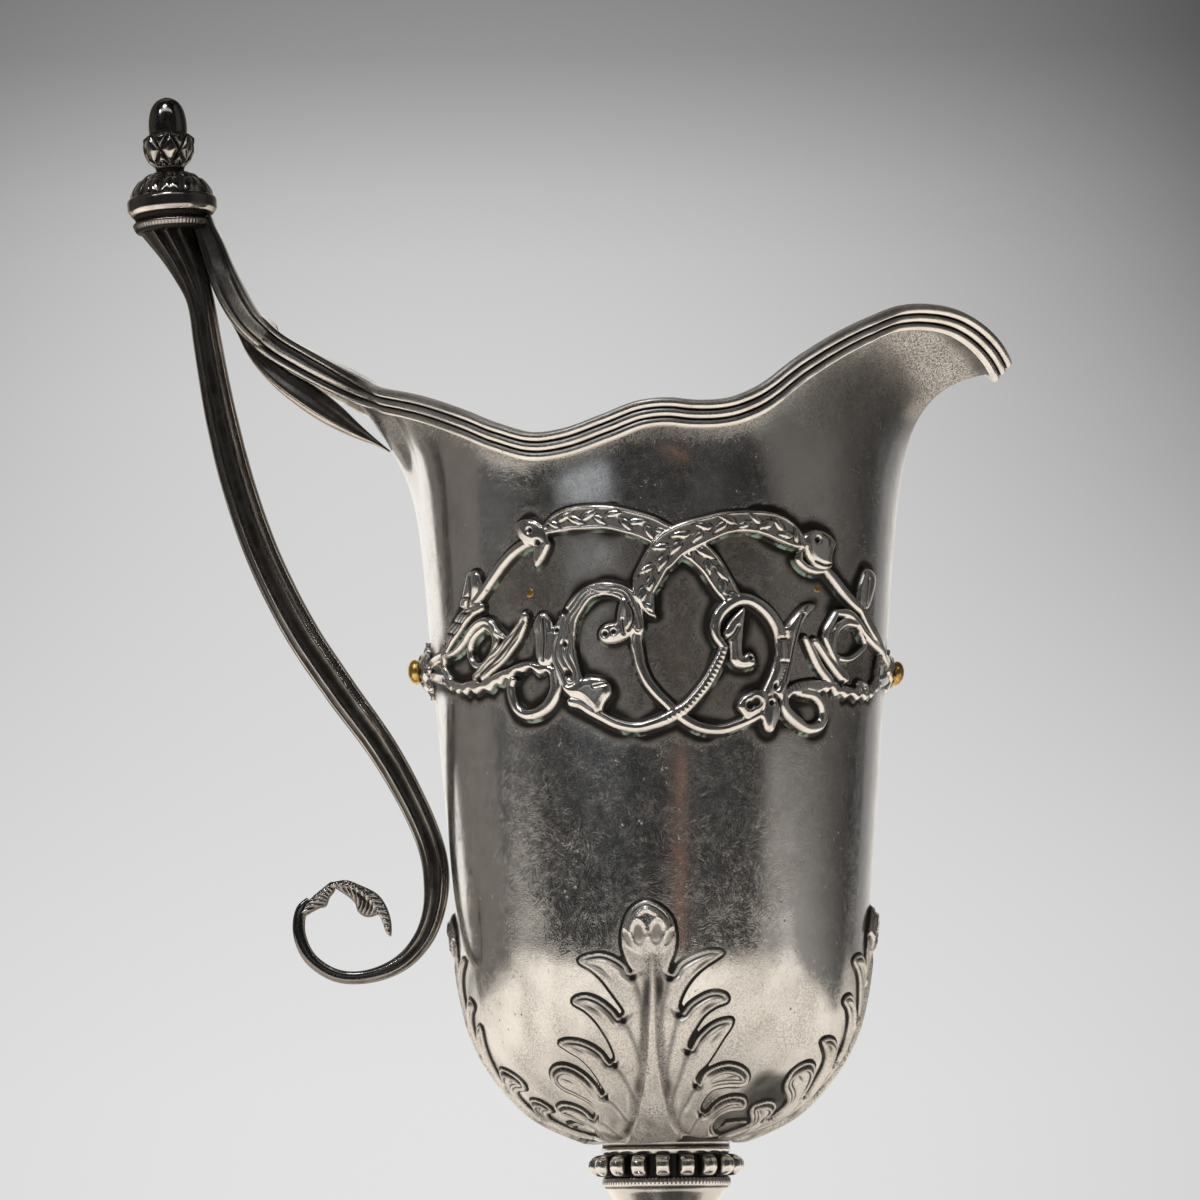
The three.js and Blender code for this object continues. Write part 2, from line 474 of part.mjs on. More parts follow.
add('stem', turned([[0, 24.9], [5.0, 24.9], [5.2, 26.4], [5.9, 28.6], [7.0, 31], [8.5, 33], [10.4, 35.5], [10.7, 36.2], [10.7, 37.2], [0, 37.2]], 24), silverCast);
add('foot_dome', turned([[0, 24.5], [5.0, 24.5], [5.6, 21], [7.4, 16.6], [11, 13.1], [16, 10.6], [22, 8.5], [27, 6.1], [28.5, 4.7], [28.5, 3.4],
  [27.2, 3.4], [27.2, 4.1], [25.6, 5.2], [21, 7.2], [15, 9.3], [10, 11.7], [6.2, 15.4], [4.3, 19.4], [3.6, 22.8], [0, 22.8]], 28), silverSheet);
add('foot_edge_wire', around([[28.9, 0], [30.6, 0], [FOOT_R, 0.9], [FOOT_R, 1.9], [30.5, 2.7], [30.6, 3.4], [30.0, 4.3], [28.9, 4.3]], 28), silverCast);
add('foot_base_plate', turned([[0, 0], [28.5, 0], [28.5, 0.9], [0, 0.9]], 28), silverSheet);

export default jug;
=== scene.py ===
import math
import bpy
import numpy as np
from mathutils import Matrix, Vector


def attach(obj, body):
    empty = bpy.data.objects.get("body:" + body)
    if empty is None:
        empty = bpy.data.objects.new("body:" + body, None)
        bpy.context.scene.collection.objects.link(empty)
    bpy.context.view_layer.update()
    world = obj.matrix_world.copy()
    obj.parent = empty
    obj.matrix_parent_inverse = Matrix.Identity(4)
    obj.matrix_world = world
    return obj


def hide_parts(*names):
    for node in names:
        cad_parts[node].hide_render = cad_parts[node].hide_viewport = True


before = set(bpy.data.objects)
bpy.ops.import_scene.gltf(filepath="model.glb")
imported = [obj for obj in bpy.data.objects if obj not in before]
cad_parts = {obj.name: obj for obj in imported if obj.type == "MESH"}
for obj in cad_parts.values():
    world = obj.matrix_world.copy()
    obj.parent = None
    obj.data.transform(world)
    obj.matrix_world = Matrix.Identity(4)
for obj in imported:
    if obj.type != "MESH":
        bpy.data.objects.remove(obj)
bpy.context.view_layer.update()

# Silver milk jug. Lengths in millimetres here, scaled to metres when a mesh is
# made. +Z up, spout along +X, handle along -X, near side along -Y.
MM = 0.001

# ------------------------------------------------------------------ tables
# Body profile, (z, r)
PROFILE = [
    (43.4, 10.8), (46.9, 19.6), (50.35, 24.3), (53.7, 27.3), (57.1, 29.75), (61.5, 31.85), (66.5, 33.2),
    (71, 34.0), (79, 34.75), (88, 35.5), (98, 36.35), (108, 37.2), (118, 38.0), (129, 38.95), (140.2, 39.82),
]
FLARE_Z, FLARE_R, WALL = 140.2, 39.82, 0.8
# Rim by angle from the spout
RIM_A = [0, 4, 8, 12, 18, 24, 30, 39, 46, 56, 65, 71, 78, 85, 91, 99, 108, 114, 123, 133, 145, 155, 165, 180]
RIM_R = [60.6, 60.0, 58.9, 57.4, 54.8, 52.2, 49.9, 47.8, 46.5, 45.2, 44.4, 44.1, 43.8, 43.7, 43.6, 43.6, 43.6, 43.8,
         44.1, 44.8, 46.0, 47.9, 50.4, 53.4]
RIM_Z = [174.8, 176, 177.6, 179.2, 180.9, 181.3, 180.8, 178.1, 175.4, 170.7, 165.7, 163.85, 163.35, 163.8, 163.35, 161.3, 159.3, 158.95, 160.85, 163.95, 167.1, 169.1, 170.9, 172]
LEAN_A = [0, 15, 30, 45, 60, 90, 120, 140, 155, 170, 180]
LEAN_D = [42, 40, 34, 27, 21, 14, 14, 19, 27, 36, 40]
DROP_D = [3.6, 2.8, 1.6, 1.0, 1.0, 1.0, 1.0, 1.0, 1.6, 4.4, 1.6]
EXTRA_D = [41, 31, 17, 9, 6, 5, 5, 6, 6, -2, -6]
PULL_A = [0, 30, 60, 90, 120, 150, 180]
PULL_0 = [0.60, 0.55, 0.42, 0.40, 0.40, 0.46, 0.50]
PULL_1 = [0.38, 0.36, 0.35, 0.35, 0.35, 0.38, 0.47]
WIRE_W, WIRE_T = 4.75, 1.5
RAIL = [(-46.2, -16.3, 170.25, 0.1, 24), (-49.1, -11.4, 172.2, 0.8, 17), (-53.5, -7.6, 175.0, 1.6, 11),
        (-58.5, -5.4, 178.2, 2.4, 6), (-63.2, -4.6, 181.2, 2.6, 3), (-65.5, -4.45, 183.15, 2.6, 2.5), (-67.4, -3.8, 184.9, 2.6, 2)]
# Handle bars: x, z, thickness in the side view, width across
LOWER = [
    (-84.15, 202.27, 9.7, 8.2), (-83.05, 199.97, 8.5, 8.0), (-81.42, 196.7, 6.95, 7.4), (-79.75, 193.17, 5.95, 7.0),
    (-78.0, 188.3, 4.7, 6.6), (-76.6, 179.6, 4.9, 6.4), (-74.4, 167.4, 5.4, 6.4), (-71.4, 155.3, 5.7, 6.4),
    (-67.2, 143.2, 5.8, 6.4), (-61.2, 131.0, 5.8, 6.4), (-54.5, 120.7, 5.6, 6.2), (-47.2, 110.3, 5.2, 6.0),
    (-41.6, 100.0, 4.7, 5.6), (-39.0, 93.1, 4.5, 5.2), (-38.3, 88.0, 4.4, 4.8), (-38.8, 82.9, 3.8, 4.2),
    (-40.8, 77.9, 3.3, 3.6), (-44.7, 73.9, 2.8, 3.0), (-50.6, 71.8, 2.3, 2.5), (-55.7, 72.2, 2.2, 2.3),
    (-60.0, 75.2, 2.2, 2.2), (-61.8, 79.6, 2.1, 2.1), (-61.3, 83.4, 1.9, 2.1), (-60.0, 85.0, 1.2, 1.8),
]
UPPER = [(-65.4, 179.95, 4.4, 9.2), (-67.2, 181.6, 4.7, 9.9), (-69.1, 183.5, 4.8, 10.1), (-70.83, 185.98, 4.95, 9.7), (-72.88, 189.83, 5.0, 8.8),
         (-74.23, 192.98, 4.75, 8.0), (-75.73, 197.1, 4.4, 7.4), (-77.0, 200.4, 3.8, 6.9), (-77.6, 202.2, 3.8, 6.7)]
STRAP = [(-72.6, 184.9, 0.8, 2.6), (-70.8, 181.95, 1.3, 3.6), (-69.4, 179.7, 2.0, 4.4), (-67.35, 177.3, 2.9, 5.4),
         (-63.7, 173.9, 3.8, 7.0), (-59.45, 170.9, 4.5, 8.0), (-55.4, 168.0, 4.1, 8.0), (-51.4, 165.15, 2.5, 6.2),
         (-47.46, 162.7, 0.8, 3.0), (-45.6, 161.4, 0.35, 0.9)]
LEAFLET_A = [(-62.07, 81.35), (-61.51, 83.07), (-60.19, 84.78), (-58.0, 86.69), (-56.03, 87.96), (-55.61, 86.54),
             (-56.49, 85.37), (-57.15, 83.86), (-58.46, 83.45), (-60.43, 82.4)]
LEAFLET_B = [(-56.6, 87.8), (-55.38, 88.06), (-53.64, 88.25), (-51.47, 87.45), (-48.22, 85.67), (-46.51, 82.83),
             (-46.0, 79.8), (-46.23, 78.51), (-46.98, 79.38), (-47.61, 81.12), (-48.26, 82.21), (-49.56, 81.91),
             (-50.65, 82.03), (-51.72, 82.91), (-52.15, 84.22), (-53.23, 85.32), (-55.17, 86.65)]
FINIAL_X, FINIAL_Z, FINIAL_LEAN = -82.7, 203.0, -2.9
RELIEF_R = 39.0
PINS = [(-20.2, 133.2), (30.4, 133.7)]
# Frieze, near half: strokes (distance round, height, half width) and outlines
FRIEZE = [
    ('S', 'bar_l', 1.15, 'r', [(-32.4, 132, 0.7), (-30.3, 133.4, 0.85), (-27.6, 135.8, 0.9), (-25, 138.2, 0.9), (-22.7, 139.9, 0.9), (-20.2, 141.1, 0.85), (-18.1, 141.6, 0.75)]),
    ('P', 'clasp_l', 1.45, 'b', [(-21.7, 144.3), (-21.1, 144.9), (-19.4, 145.2), (-17.7, 144.7), (-16.5, 143.5), (-15.9, 142.1), (-15.8, 141.1), (-16.9, 140.6), (-18, 140.5), (-19.7, 141), (-21, 142.1), (-21.6, 143.3)]),
    ('P', 'drop_l', 1.35, 'b', [(-18.4, 140.7), (-16.9, 141.8), (-15.5, 141.1), (-15.9, 139.8), (-16.9, 138.1), (-18.1, 137), (-18.7, 138.2), (-18.5, 139.7)]),
    ('S', 'band_l', 1.15, 'b', [(-16.1, 143.3, 0.95), (-14.4, 144.1, 1.59), (-12.4, 144.6, 1.85), (-10, 144.8, 1.98), (-7.7, 144.8, 1.93), (-5.4, 144.6, 1.93), (-3.1, 144, 1.96), (-1.1, 143.4, 1.98), (0.9, 142.6, 2.04), (2.6, 141.6, 2.04), (4.8, 140.7, 2.01), (7.1, 139.6, 2.01), (8.9, 138.3, 1.96), (10.5, 136.6, 1.9), (11.8, 134.6, 1.85), (13, 132.8, 1.75), (13.9, 131.6, 1.53)]),
    ('S', 'band_r', 1.6, 'b', [(26, 140.5, 0.9), (24.6, 141.5, 1.69), (22.4, 142.7, 2.12), (20.1, 143.5, 2.06), (17, 143.9, 1.8), (14.6, 143.8, 1.77), (12.5, 143.5, 1.85), (9.9, 142.6, 2.06), (7.4, 141.7, 2.33), (5.6, 140.9, 2.43), (3.8, 139.7, 2.54), (2.5, 138.2, 2.49), (1.7, 137.3, 2.28), (0.8, 135.7, 2.22), (-0, 134.1, 2.17), (-0.3, 132.5, 1.8), (0.1, 130.7, 1.22), (0.7, 129.1, 0.74), (1.4, 128.3, 0.21)]),
    ('S', 'ring_a', 1.35, 'r', [(12.5, 123.1, 0.74), (12, 121.7, 0.85), (11.1, 119.8, 0.9), (9.9, 117.7, 0.95), (8.2, 115.6, 0.95), (6.5, 113.8, 1.01), (4.6, 112.6, 1.01), (2.8, 111.7, 1.01), (0.6, 110.9, 0.9), (-1.8, 110.4, 0.87), (-4, 110.7, 0.85), (-5.8, 111.3, 0.85), (-7.3, 112.1, 0.85), (-8.7, 112.9, 0.9), (-10.1, 113.7, 0.9), (-11.3, 114.5, 0.9), (-13, 115, 0.9)]),
    ('S', 'ring_b', 1.05, 'r', [(-1.4, 126.5, 0.95), (-1.8, 124.4, 1.01), (-1.5, 122.5, 0.9), (-1.1, 120.4, 0.85), (-0.1, 118, 0.85), (1.5, 115.9, 0.85), (3.3, 114.1, 0.85), (5, 112.5, 0.85), (6.7, 111.3, 0.85), (8.6, 110.4, 0.85), (10.8, 110, 0.82), (13.1, 110.2, 0.82), (15.3, 110.9, 0.82), (17.3, 111.7, 0.82), (19.1, 112.5, 0.79)]),
    ('S', 'scroll_l', 1.3, 'b', [(-12.9, 118.5, 1.96), (-13.6, 120.6, 2.12), (-14.1, 122.7, 2.22), (-14.1, 124.6, 2.12), (-13.5, 126.7, 1.85), (-12.7, 128.7, 1.53), (-11.4, 130.7, 1.43), (-9.5, 132.4, 1.22), (-7.3, 133.1, 1.14), (-5.2, 132.9, 1.14), (-3.4, 132.1, 1.27), (-2.3, 130.5, 1.48), (-1.7, 128.3, 1.22), (-1.4, 126.5, 1.01)]),
    ('P', 'head_l', 1.5, 'b', [(-3.8, 131.6), (-4.7, 129.2), (-5, 127.6), (-6.4, 127.4), (-7.5, 126.7), (-7.9, 125.6), (-7.4, 124.5), (-6, 124), (-3.6, 124.6), (-2.5, 125.5), (-1.8, 126.8), (-1.7, 128.9), (-2.4, 130.7)]),
    ('P', 'hood_l', 1.35, 'b', [(-14.6, 117.7), (-13.7, 116.1), (-11.3, 115), (-9.9, 113.7), (-8.8, 112.4), (-7.9, 112.9), (-7.1, 114.5), (-6.1, 115.9), (-6.1, 117.2), (-7, 118.3), (-8.9, 118.8), (-10.7, 118.8), (-12.6, 117.9)]),
    ('S', 'scroll_r', 1.3, 'r', [(12.6, 123.4, 0.69), (11.4, 125.1, 0.74), (11.2, 126.9, 0.9), (11.9, 128.8, 1.01), (13.4, 130.3, 1.06), (15.3, 131.2, 1.01), (17, 131.1, 0.95), (19, 130.1, 1.01), (20.8, 128.6, 1.11), (22.2, 126.6, 1.16), (22.8, 124.3, 1.16), (22.9, 121.9, 1.16), (22.4, 119.8, 1.16), (21.4, 117.6, 1.11), (20.6, 116.1, 1.11)]),
    ('P', 'leaf_r', 1.2, 'b', [(16, 129.9), (14.4, 128.7), (13, 126.9), (12.5, 125.3), (13.2, 124.4), (13.6, 122.7), (13.7, 121.1), (14.6, 120.1), (16.3, 119.9), (18, 120.5), (18.1, 121.6), (17.4, 122.6), (16.6, 122.5), (16, 122), (15.8, 123.8), (15.9, 126.5)]),
    ('P', 'blade_r', 1.35, 'b', [(23.1, 126.7), (24.1, 127.6), (26, 129.7), (27.6, 130.8), (29.4, 130.8), (28, 129.2), (27, 128), (26.3, 126.3), (25.7, 124.1), (25.3, 121.7), (24.9, 119.6), (24.1, 117.2), (22.7, 115.2), (21.8, 116), (22.8, 117.9), (23.6, 120.6), (23.8, 123.2), (23.5, 125.4)]),
    ('P', 'petal_r1', 1.4, 'b', [(14.9, 113.6), (15.6, 115.1), (17.3, 116.2), (19.6, 116.5), (20.5, 115.6), (20, 113.8), (17.6, 112.2), (16.6, 111.8), (15.6, 112.6)]),
    ('P', 'petal_r2', 1.45, 'b', [(19.5, 113.8), (20.1, 115.3), (21.4, 115.7), (22.7, 113.9), (22.8, 113), (22.2, 111), (21.3, 109.6), (20.2, 109.8), (19.5, 111.7)]),
    ('S', 'outer_l', 1.2, 'b', [(-41.5, 120.2, 0.75), (-43.4, 122.6, 0.75), (-42.5, 125.1, 1.1), (-40.1, 127, 1.34), (-37.4, 128.6, 1.34), (-34.9, 130.2, 1.25), (-32.5, 131.2, 1.05), (-30.4, 131.5, 0.85)]),
    ('S', 'lip_l', 1.35, 'r', [(-42.8, 124.2, 0.3), (-38.3, 124.8, 0.5), (-35.4, 126.1, 0.6), (-33.7, 127.5, 0.65), (-31.9, 128.6, 0.65), (-29.9, 129.2, 0.65), (-28.2, 128.8, 0.65), (-27.1, 127.2, 0.7), (-25.5, 126.3, 0.45)]),
    ('S', 'oval_l', 1.25, 'r', [(-29.5, 128.2, 0.55), (-31.7, 127.3, 0.6), (-33.4, 126, 0.6), (-34, 124, 0.6), (-33, 122.3, 0.6), (-31.1, 121.9, 0.55), (-28.7, 123.3, 0.65), (-27.5, 125.2, 0.7), (-27.6, 127, 0.65), (-29.2, 128.2, 0.55)]),
    ('P', 'leafup_l', 1.2, 'b', [(-35.6, 132), (-34.7, 133.9), (-33.7, 135.8), (-33.1, 137.2), (-31.7, 137.7), (-30.4, 137.3), (-29.9, 135.5), (-30.2, 134.3), (-31.3, 133.1), (-32.4, 131.6)]),
    ('S', 'leaf1_l', 1.3, 'b', [(-32.6, 120, 1.05), (-29.7, 121.4, 1.25), (-27, 122.9, 1.39), (-24.5, 124.8, 1.39), (-22.8, 126.4, 1.2), (-21.6, 128.1, 0.95), (-21, 129.4, 0.75)]),
    ('P', 'leaf2_l', 1.25, 'b', [(-18.2, 129.6), (-17.1, 129.6), (-16.1, 128.6), (-15.6, 127.3), (-14.8, 128.2), (-14.6, 129.4), (-14.2, 127.9), (-15.1, 126), (-15.7, 124), (-16.4, 121.2), (-18.6, 121.3), (-19.2, 123.2), (-19.1, 125.7), (-19.4, 127.7)]),
    ('S', 'rope_l', 1.15, 'r', [(-15.6, 119.7, 0.85), (-16.9, 120.4, 0.8), (-18.7, 120.7, 0.8), (-21, 121.3, 0.7), (-22.9, 121, 0.75), (-24.9, 120.3, 0.87), (-27, 119.8, 0.95), (-29.2, 119.1, 1.05), (-32, 118.6, 0.9), (-34.5, 118.8, 0.95), (-37.3, 118.7, 0.9), (-40.4, 119.4, 0.85), (-43.8, 120.5, 0.85)]),
    ('S', 'ring_l', 1.2, 'r', [(-16, 119.9, 1), (-15.9, 117.3, 1.1), (-17.3, 114.8, 1.1), (-19.4, 113.6, 0.95), (-21.9, 113.3, 0.82), (-23.7, 114.3, 0.82), (-24.7, 116.2, 0.85), (-24.8, 118.1, 0.75), (-24.2, 119.1, 0.55)]),
    ('P', 'bud_r', 1.55, 'b', [(26.3, 141.8), (27.7, 142.8), (29.6, 143.1), (31.7, 142.4), (33.1, 141.1), (32.6, 139.8), (32.4, 138.2), (32.8, 137.4), (31.3, 136.8), (29, 137), (27.3, 138.2), (26.6, 139.8)]),
    ('S', 'hook_r', 1.2, 'r', [(25.9, 139.1, 0.6), (25.8, 138, 0.7), (27.1, 136.9, 0.7), (29.4, 136.4, 0.65), (31.2, 136.7, 0.6)]),
    ('S', 'bar_r', 1.15, 'r', [(31.5, 136.7, 0.8), (33.9, 135, 0.95), (36.1, 133.4, 1), (38.5, 132, 0.95), (41.1, 130.9, 0.8)]),
    ('S', 'outer_r', 1.2, 'b', [(40.8, 131.2, 0.85), (43.9, 128.9, 1), (46.8, 127.1, 0.95), (50.2, 125.3, 0.75), (52.1, 124, 0.6)]),
    ('S', 'lip_r', 1.35, 'r', [(34.4, 129.8, 0.6), (37.4, 129.8, 0.8), (39.8, 128.8, 0.8), (42.2, 127.2, 0.75), (45.8, 125.7, 0.65), (50.4, 124.3, 0.45)]),
    ('P', 'leafup_r', 1.2, 'b', [(40.4, 131.1), (39.9, 133.4), (40.7, 135.7), (42.2, 137.7), (45.1, 137), (45.4, 135.1), (44.5, 133), (43.1, 131)]),
    ('S', 'oval_r', 1.25, 'r', [(40.3, 128.3, 0.65), (36.6, 128.3, 0.75), (34.4, 126.9, 0.8), (33.8, 124.9, 0.85), (34.1, 122.9, 0.85), (35.4, 120.9, 0.85), (37.6, 119.2, 0.85)]),
    ('S', 'lowlip_r', 1.1, 'r', [(34.7, 122.7, 0.5), (36.3, 122.3, 0.5), (38.8, 122.5, 0.45), (41.1, 123.6, 0.45), (43.1, 125.1, 0.45), (41.2, 127.1, 0.45)]),
    ('S', 'post_r', 1.15, 'b', [(50, 124.2, 0.75), (49.2, 121.4, 0.85), (48.8, 119.3, 0.85), (46.4, 117.7, 0.75)]),
    ('S', 'disc_r', 1.3, 'b', [(42.2, 117.9, 1.25), (43.6, 117.8, 1.25)]),
    ('S', 'fern1_r', 1.2, 'r', [(27.6, 125.2, 0.55), (29.3, 122.9, 0.85), (31.1, 120.5, 0.9), (33.5, 118.6, 0.85)]),
    ('S', 'fern2_r', 1.35, 'r', [(29.7, 124.8, 0.65), (32.1, 122.5, 0.75), (34.4, 120.6, 0.8), (37, 118.8, 0.7)]),
    ('S', 'fern3_r', 1.25, 'r', [(34.2, 129.6, 0.65), (32, 125.8, 0.7), (33.1, 123.8, 0.7), (34.8, 121.7, 0.7), (37, 119.5, 0.65)]),
    ('S', 'rope_r', 1.15, 'r', [(23.5, 115.8, 0.75), (26.1, 116.8, 1), (28.6, 117.3, 1.1), (31, 117.4, 1.15), (33.5, 117.9, 0.9), (35.9, 117.2, 1), (38.5, 117.1, 0.85), (41.9, 116.9, 0.75), (45.8, 117.2, 0.75), (50.3, 119.1, 0.65)]),
    ('S', 'ring_r', 1.2, 'r', [(23.6, 115.5, 0.85), (24.2, 113.4, 1), (26.6, 111.5, 1.05), (29.2, 110.5, 0.82), (31.8, 111.3, 0.95), (32.5, 113, 1), (31.7, 114.7, 0.9), (30, 115.9, 0.85), (27.4, 116.2, 0.75)]),]
PITS = [(-18.7, 143.2, 0.47), (-17.5, 141.1, 0.57), (-32.0, 119.7, 0.67), (-41.7, 126.3, 0.52), (-40.7, 121.2, 0.52),
        (-13.4, 129.6, 0.62), (-15.0, 126.7, 0.47), (-13.7, 124.3, 0.52), (-13.4, 119.5, 0.78), (-5.3, 126.0, 0.47),
        (-6.7, 125.7, 0.52), (21.9, 117.2, 0.52), (17.1, 114.0, 0.80), (18.2, 114.5, 0.85), (21.0, 114.4, 0.57), (17.2, 121.7, 0.47),
        (28.8, 141.4, 0.62), (36.6, 118.2, 0.67), (42.9, 117.8, 0.52)]
GROOVES = [
    [(-2.9, 130.7), (-2.2, 129.4), (-2.1, 127.8), (-2.8, 126.3)], [(-3.8, 127.9), (-3.6, 125.7)],
    [(-8.9, 117.3), (-6.7, 117.7)], [(14.8, 126.7), (14.0, 125.4), (13.1, 124.6)], [(22.4, 124.9), (23.6, 125.0)],
    [(22.7, 121.1), (23.9, 121.1)], [(28.6, 137.9), (30.6, 137.4), (32.3, 137.6)], [(30.0, 142.4), (31.2, 141.8), (31.4, 140.6)],
    [(-34.3, 133.4), (-32.7, 133.3)], [(-35.2, 130.9), (-33.1, 130.8)], [(-38.0, 129.7), (-35.7, 129.2)],
    [(-40.7, 128.1), (-38.3, 127.7)], [(-21.1, 128.6), (-23.8, 125.5), (-27.7, 122.5), (-31.3, 120.5)],
    [(-17.3, 128.8), (-17.2, 125.6), (-17.6, 122.1)], [(26.6, 129.2), (25.5, 126.0), (24.5, 121.7), (23.6, 117.9)],
    [(42.4, 135.9), (42.1, 133.8), (42.0, 131.8)], [(-31.9, 136.7), (-32.2, 134.2), (-33.2, 132.0)],
]
# Acanthus leaf on the near side: outline and ribs, (x, z)
LEAF_OUT = [(-7.64, 43.98), (-10, 44.3), (-10.6, 44.59), (-11.15, 45.95), (-13.93, 47.23), (-16.22, 48.29), (-17.12, 49.21), (-16.29, 49.86), (-14.79, 49.77), (-13.08, 49.12), (-11.85, 48.2), (-11.04, 47.46), (-10.45, 48.23), (-11.53, 49.65), (-13.49, 50.75), (-15.78, 51.83), (-17.16, 53.12), (-17.68, 54.81), (-17.09, 55.77), (-15.72, 56.21), (-13.69, 55.69), (-11.73, 54.39), (-10.25, 52.69), (-9.2, 51.2), (-8.61, 51.69), (-9.34, 53.23), (-10.52, 55.2), (-12.43, 57.19), (-14.69, 58.63), (-15.93, 59.64), (-14.91, 60.08), (-12.87, 59.98), (-10.59, 59.15), (-8.92, 57.95), (-7.57, 56.31), (-6.62, 56.93), (-7.15, 59.03), (-8.16, 60.99), (-9.57, 63.1), (-11.25, 64.76), (-13.37, 66.18), (-13.07, 66.81), (-11.32, 67.24), (-9.61, 66.78), (-8.2, 65.94), (-6.67, 64.57), (-5.7, 63.44), (-4.8, 64.4), (-5.64, 65.95), (-7.01, 67.92), (-8.39, 69.77), (-10.07, 71.34), (-12.15, 72.74), (-11.96, 73.21), (-10.17, 73.8), (-8.16, 73.87), (-6.04, 73.06), (-4.37, 71.77), (-3.74, 70.64), (-3.25, 70.92), (-3.94, 72.04), (-4.53, 73.45), (-4.96, 75.14), (-4.98, 77.09), (-4.43, 79.17), (-3.64, 80.75), (-2.49, 81.79), (-0.93, 82.32), (0.75, 81.79), (2.18, 80.74), (3.22, 79.25), (3.68, 77.23), (3.65, 75.28), (3.25, 73.61), (2.58, 71.94), (2.45, 70.83), (3.05, 70.32), (4.2, 71.92), (5.89, 73.02), (7.85, 73.84), (9.67, 74.25), (11.32, 73.88), (10.2, 72.85), (8.65, 71.88), (6.96, 70.5), (5.53, 68.84), (4.43, 66.91), (3.91, 65.1), (4.44, 64.07), (5.73, 65.45), (7.15, 66.46), (8.83, 67.28), (10.36, 67.47), (11.74, 66.91), (11.85, 66.02), (9.89, 65.13), (8.05, 63.81), (6.61, 61.88), (5.43, 59.95), (5.11, 58.9), (5.7, 58.34), (6.97, 60.16), (8.69, 61.81), (10.66, 62.82), (12.52, 63.01), (12.3, 61.98), (11.14, 60.32), (9.68, 58.11), (8.2, 56.04), (6.74, 54.67), (6.22, 53.56), (6.87, 52.72), (7.85, 54.38), (9.56, 55.42), (11.81, 55.93), (14, 55.22), (14.83, 54.05), (14.58, 52.94), (13.58, 52.33), (11.08, 52.27), (8.83, 51.73), (7.35, 50.21), (6.73, 48.69), (7.61, 48.12), (8.96, 49.36), (10.42, 50.32), (12.39, 50.78), (14.03, 50.38), (14.18, 49.32), (13.36, 48.71), (11.4, 48.5), (9.38, 47.54), (8.39, 46.02), (8.42, 45.18), (8.79, 44.75), (7.06, 44.35), (3.73, 44.67), (0.25, 44.15), (-4.11, 43.93)]
LEAF_VEINS = [
    [(-12.14, 73.08), (-8.21, 71.3), (-5.16, 67.89), (-3.02, 63.4), (-1.81, 57.82), (-1.82, 52.27)],
    [(-13.36, 66.54), (-9.24, 64.63), (-5.92, 61.22), (-3.81, 57.3), (-2.63, 52.84), (-2.56, 48.11)],
    [(-15.92, 59.86), (-11.51, 58), (-7.96, 54.6), (-5.32, 50.94), (-3.84, 46.73)],
    [(-17.68, 54.81), (-13.3, 53.03), (-9.72, 50.17), (-6.8, 47.33), (-4.85, 44.78)],
    [(-17.1, 49.34), (-13.25, 47.72), (-9.65, 45.98), (-6.11, 44.24)],
    [(11.32, 73.88), (7.26, 71.62), (4.11, 67.75), (2.03, 62.77), (1.01, 57.78), (0.76, 52.79)],
    [(11.87, 66.57), (8.22, 64.92), (5.33, 61.06), (3.51, 57.2), (2.17, 52.78), (1.77, 48.89)],
    [(12.51, 62.67), (9.18, 59.64), (6.5, 55.5), (4.35, 51.64), (2.95, 47.75)],
    [(14.83, 54.05), (11.16, 53.79), (7.98, 51.6), (5.26, 48.56), (3.87, 45.79)],
    [(14.22, 49.88), (10.91, 49.34), (7.95, 47.14), (5.49, 45.21)],
]
LEAF_VALLEYS = [
    [(-3.48, 70.78), (-2.1, 66.16), (-1.41, 60.59), (-1.43, 55.05)],
    [(-5.27, 63.85), (-3.42, 59.79), (-2.48, 55.62), (-2.33, 50.89)],
    [(-7.09, 56.66), (-4.89, 53.15), (-3.58, 49.52), (-3.34, 46.16)],
    [(-8.92, 51.47), (-6.64, 49.01), (-4.93, 46.19), (-4.6, 44.5)],
    [(-10.77, 47.82), (-8.18, 45.96), (-6.7, 44.25)],
    [(2.78, 70.54), (1.56, 66.11), (0.69, 60.56), (0.62, 55.57)],
    [(4.18, 64.63), (2.76, 59.7), (1.75, 55.56), (1.38, 51.4)],
    [(5.41, 58.62), (3.94, 54.42), (2.48, 50.82), (2.06, 47.21)],
    [(6.53, 53.14), (4.83, 50.24), (3.21, 47.47), (2.99, 45.52)],
    [(7.15, 48.4), (5.66, 46.61), (4.61, 44.94)],
]
LEAF_RIB = [
    [(-0.01, 74.49), (-0.18, 66.13), (-0.39, 61.97), (-0.54, 56.42), (-0.73, 51.56), (-1.09, 45.85), (-0.89, 44.16)],
]
LEAF_KNOB = [
    [(-0.5, 81.2), (-0.59, 76.45)],
    [(-2.66, 80.12), (-3.19, 74.54)],
    [(1.83, 80.04), (2.43, 74.46)],
]

